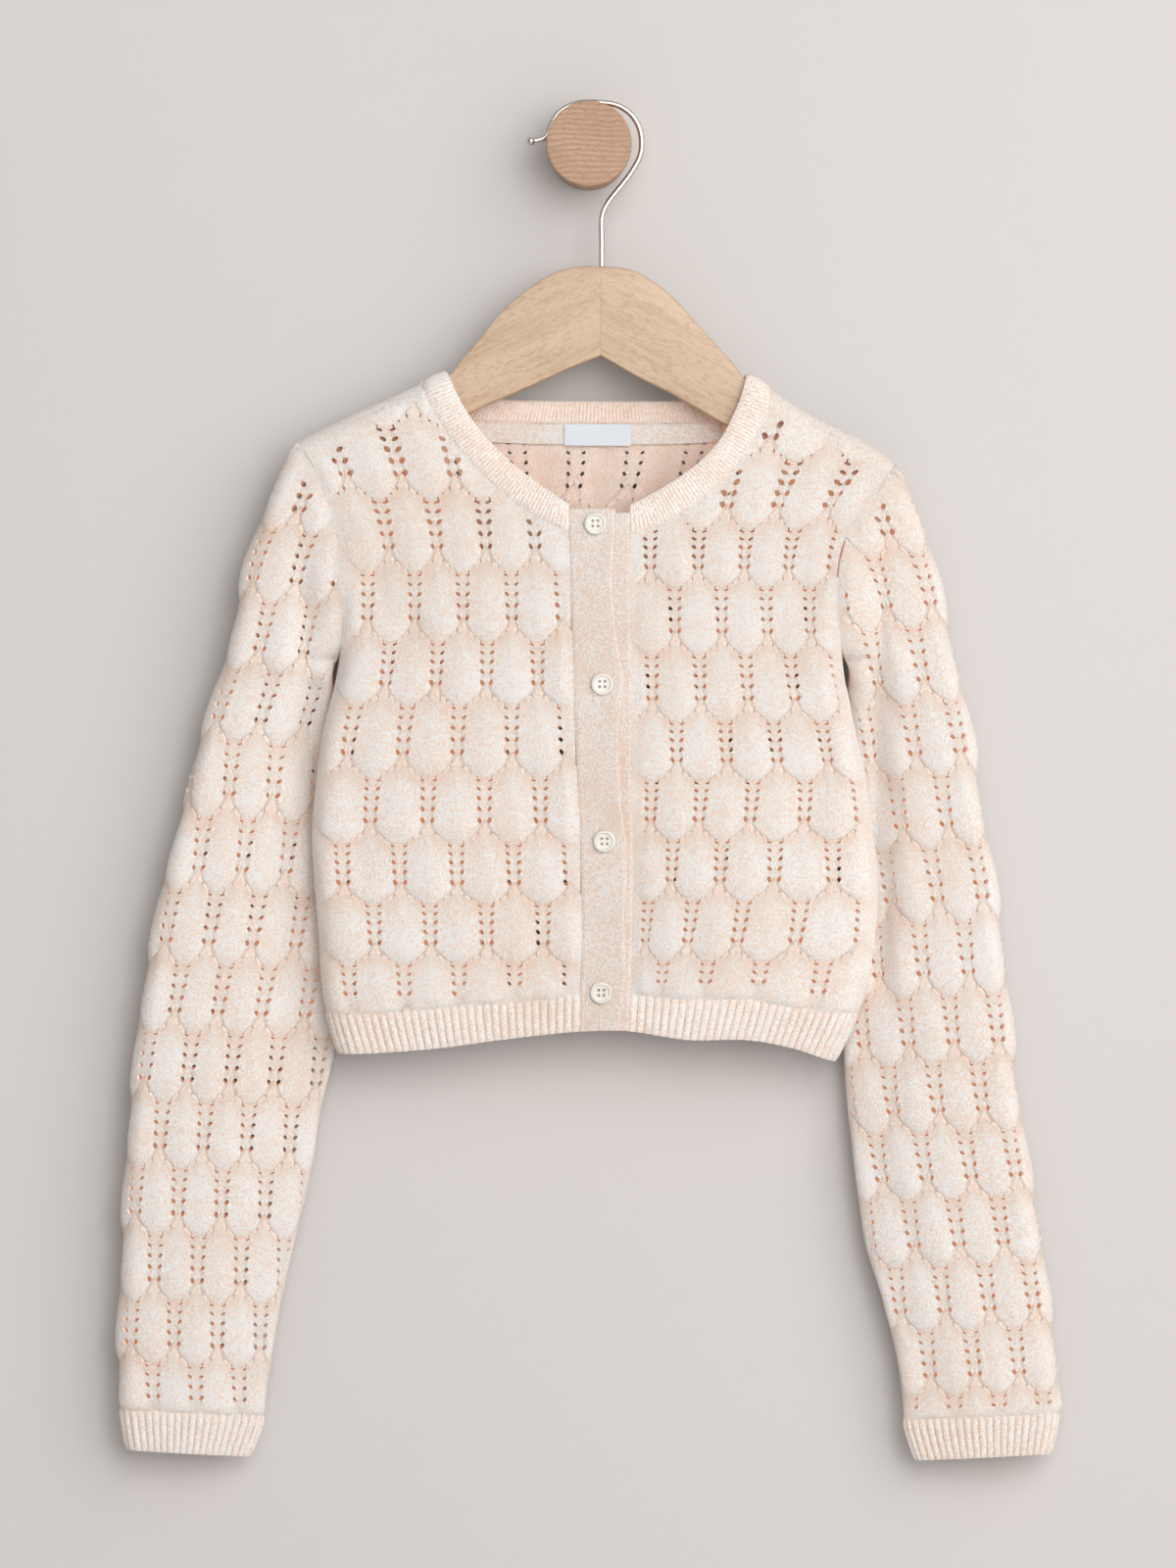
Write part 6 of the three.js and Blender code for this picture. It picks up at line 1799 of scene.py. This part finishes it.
class SHRUG_OT_sew_label(bpy.types.Operator):
    """Sews the tape and the blank label inside the back neck"""
    bl_idname = "shrug.sew_label"
    bl_label = "Sew in tape and label"

    def execute(self, context):
        tape = inside_strip("neck_tape_twill", from_x=-63, to_x=69, top=0.6, bottom=10.6, inward=1.75,
                            thickness=0.0009, columns=140, lines=10)
        finish_piece(tape, "tape", rib_yarn(), "neck_tape")
        label = inside_strip("label_satin", from_x=-12.5, to_x=21.4, top=0.4, bottom=11.4, inward=2.85,
                             thickness=0.0005, columns=48, lines=14, wave=0.5)
        finish_piece(label, "satin", shared_finish("white_satin", satin_finish), "label")
        return {"FINISHED"}


class SHRUG_OT_turn_buttons(bpy.types.Operator):
    """Turns one four-hole button and sews a copy at each buttonhole"""
    bl_idname = "shrug.turn_buttons"
    bl_label = "Turn the buttons"

    def execute(self, context):
        for number, piece in enumerate(sewn_buttons()):
            finish_piece(piece, "ivory", shared_finish("ivory_resin", button_finish), f"button_{number + 1}")
        return {"FINISHED"}


class SHRUG_OT_shape_hanger(bpy.types.Operator):
    """Shapes the two beech arms of the hanger"""
    bl_idname = "shrug.shape_hanger"
    bl_label = "Shape the hanger"

    def execute(self, context):
        for side in SIDES:
            finish_piece(hanger_arm(side), "beech", beech_finish(side), "hanger_arm_" + side)
        return {"FINISHED"}


class SHRUG_OT_bend_hook(bpy.types.Operator):
    """Bends the steel hook, with a ball on its end"""
    bl_idname = "shrug.bend_hook"
    bl_label = "Bend the hook"

    def execute(self, context):
        finish_piece(hook_piece(), "steel", steel_finish(), "hook")
        return {"FINISHED"}


class SHRUG_OT_turn_peg(bpy.types.Operator):
    """Turns the wall peg, with its wider disc at the front"""
    bl_idname = "shrug.turn_peg"
    bl_label = "Turn the wall peg"

    def execute(self, context):
        finish_piece(peg_piece(), "peg_wood", end_grain_finish(), "wall_peg")
        return {"FINISHED"}


class SHRUG_OT_build_studio(bpy.types.Operator):
    """Builds the painted wall, the floor, the lights and the camera"""
    bl_idname = "shrug.build_studio"
    bl_label = "Build the studio"

    def execute(self, context):
        studio = context.scene.shrug_studio
        wall_paint = paint_finish("wall_paint", tuple(studio.wall))
        planes = (("wall", (0, 0.0006, 0), (math.pi / 2, 0, 0)), ("floor", (0, 0, -1.05), (0, 0, 0)))
        for name, place, turn in planes:
            bpy.ops.object.select_all(action="DESELECT")
            bpy.ops.mesh.primitive_plane_add(size=12, location=place, rotation=turn)
            plane = bpy.context.object
            plane.name = name
            plane.data.materials.append(wall_paint)
        self.light("key_light", place=(1.55, -2.3, 0.55), size=2.9, power=studio.key_power)
        self.light("front_light", place=(0.45, -3.2, 0.35), size=1.8, power=studio.front_power)
        world = bpy.data.worlds.new("studio_light")
        world.use_nodes = True
        background = world.node_tree.nodes["Background"]
        background.inputs["Color"].default_value = (1.0, 0.99, 0.98, 1)
        background.inputs["Strength"].default_value = studio.fill
        context.scene.world = world
        context.scene.view_settings.view_transform = "Standard"
        self.camera(studio)
        return {"FINISHED"}

    def light(self, name, place, size, power):
        """A square soft light, aimed at the middle of the garment."""
        lamp = bpy.data.lights.new(name, "AREA")
        lamp.size = size
        lamp.energy = power
        lamp.color = (1.0, 0.985, 0.97)
        holder = bpy.data.objects.new(name, lamp)
        holder.location = place
        garment_middle = Vector((0, -0.03, -0.35))
        aim = garment_middle - Vector(place)
        holder.rotation_euler = aim.to_track_quat("-Z", "Y").to_euler()
        bpy.context.scene.collection.objects.link(holder)

    def camera(self, studio):
        """The camera straight in front, wide enough for the view's height at the cloth."""
        lens = bpy.data.cameras.new("front_camera")
        lens.sensor_width = 36
        lens.lens = lens.sensor_width * studio.camera_distance / studio.view_height
        holder = bpy.data.objects.new("front_camera", lens)
        cloth_front, middle_x, middle_z = -0.04, -0.0005, -0.3265
        holder.location = (middle_x, cloth_front - studio.camera_distance, middle_z)
        holder.rotation_euler = (math.pi / 2, 0, 0)
        bpy.context.scene.collection.objects.link(holder)
        bpy.context.scene.camera = holder


PIECE_OPERATORS = (
    SHRUG_OT_knit_fronts, SHRUG_OT_knit_back, SHRUG_OT_knit_sleeves, SHRUG_OT_rib_hem, SHRUG_OT_sew_bands,
    SHRUG_OT_sew_label, SHRUG_OT_turn_buttons, SHRUG_OT_shape_hanger, SHRUG_OT_bend_hook, SHRUG_OT_turn_peg,
    SHRUG_OT_build_studio,
)


class SHRUG_PT_pieces(bpy.types.Panel):
    """Lists the shrug's operators and sizes"""
    bl_idname = "SHRUG_PT_pieces"
    bl_label = "Lace-knit shrug"
    bl_space_type = "VIEW_3D"
    bl_region_type = "UI"
    bl_category = "Shrug"

    def draw(self, context):
        layout = self.layout
        for settings in (context.scene.shrug_knit, context.scene.shrug_wood, context.scene.shrug_studio):
            box = layout.box()
            for name in settings.__annotations__:
                box.prop(settings, name)
        for operator in PIECE_OPERATORS:
            layout.operator(operator.bl_idname)


SETTINGS = {"shrug_knit": KnitSettings, "shrug_wood": WoodSettings, "shrug_studio": StudioSettings}


def register():
    """Adds the settings, the operators and the panel."""
    for group in (*SETTINGS.values(), *PIECE_OPERATORS, SHRUG_PT_pieces):
        bpy.utils.register_class(group)
    for name, group in SETTINGS.items():
        setattr(bpy.types.Scene, name, PointerProperty(type=group))


def unregister():
    """Takes the panel, the operators and the settings away again."""
    for name in SETTINGS:
        delattr(bpy.types.Scene, name)
    for group in reversed((*SETTINGS.values(), *PIECE_OPERATORS, SHRUG_PT_pieces)):
        bpy.utils.unregister_class(group)


def main():
    """Builds the whole scene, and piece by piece."""
    register()
    bpy.ops.shrug.knit_fronts()
    bpy.ops.shrug.knit_back()
    bpy.ops.shrug.knit_sleeves()
    bpy.ops.shrug.rib_hem()
    bpy.ops.shrug.sew_bands()
    bpy.ops.shrug.sew_label()
    bpy.ops.shrug.turn_buttons()
    bpy.ops.shrug.shape_hanger()
    bpy.ops.shrug.bend_hook()
    bpy.ops.shrug.turn_peg()
    bpy.ops.shrug.build_studio()


if __name__ == "__main__":
    main()
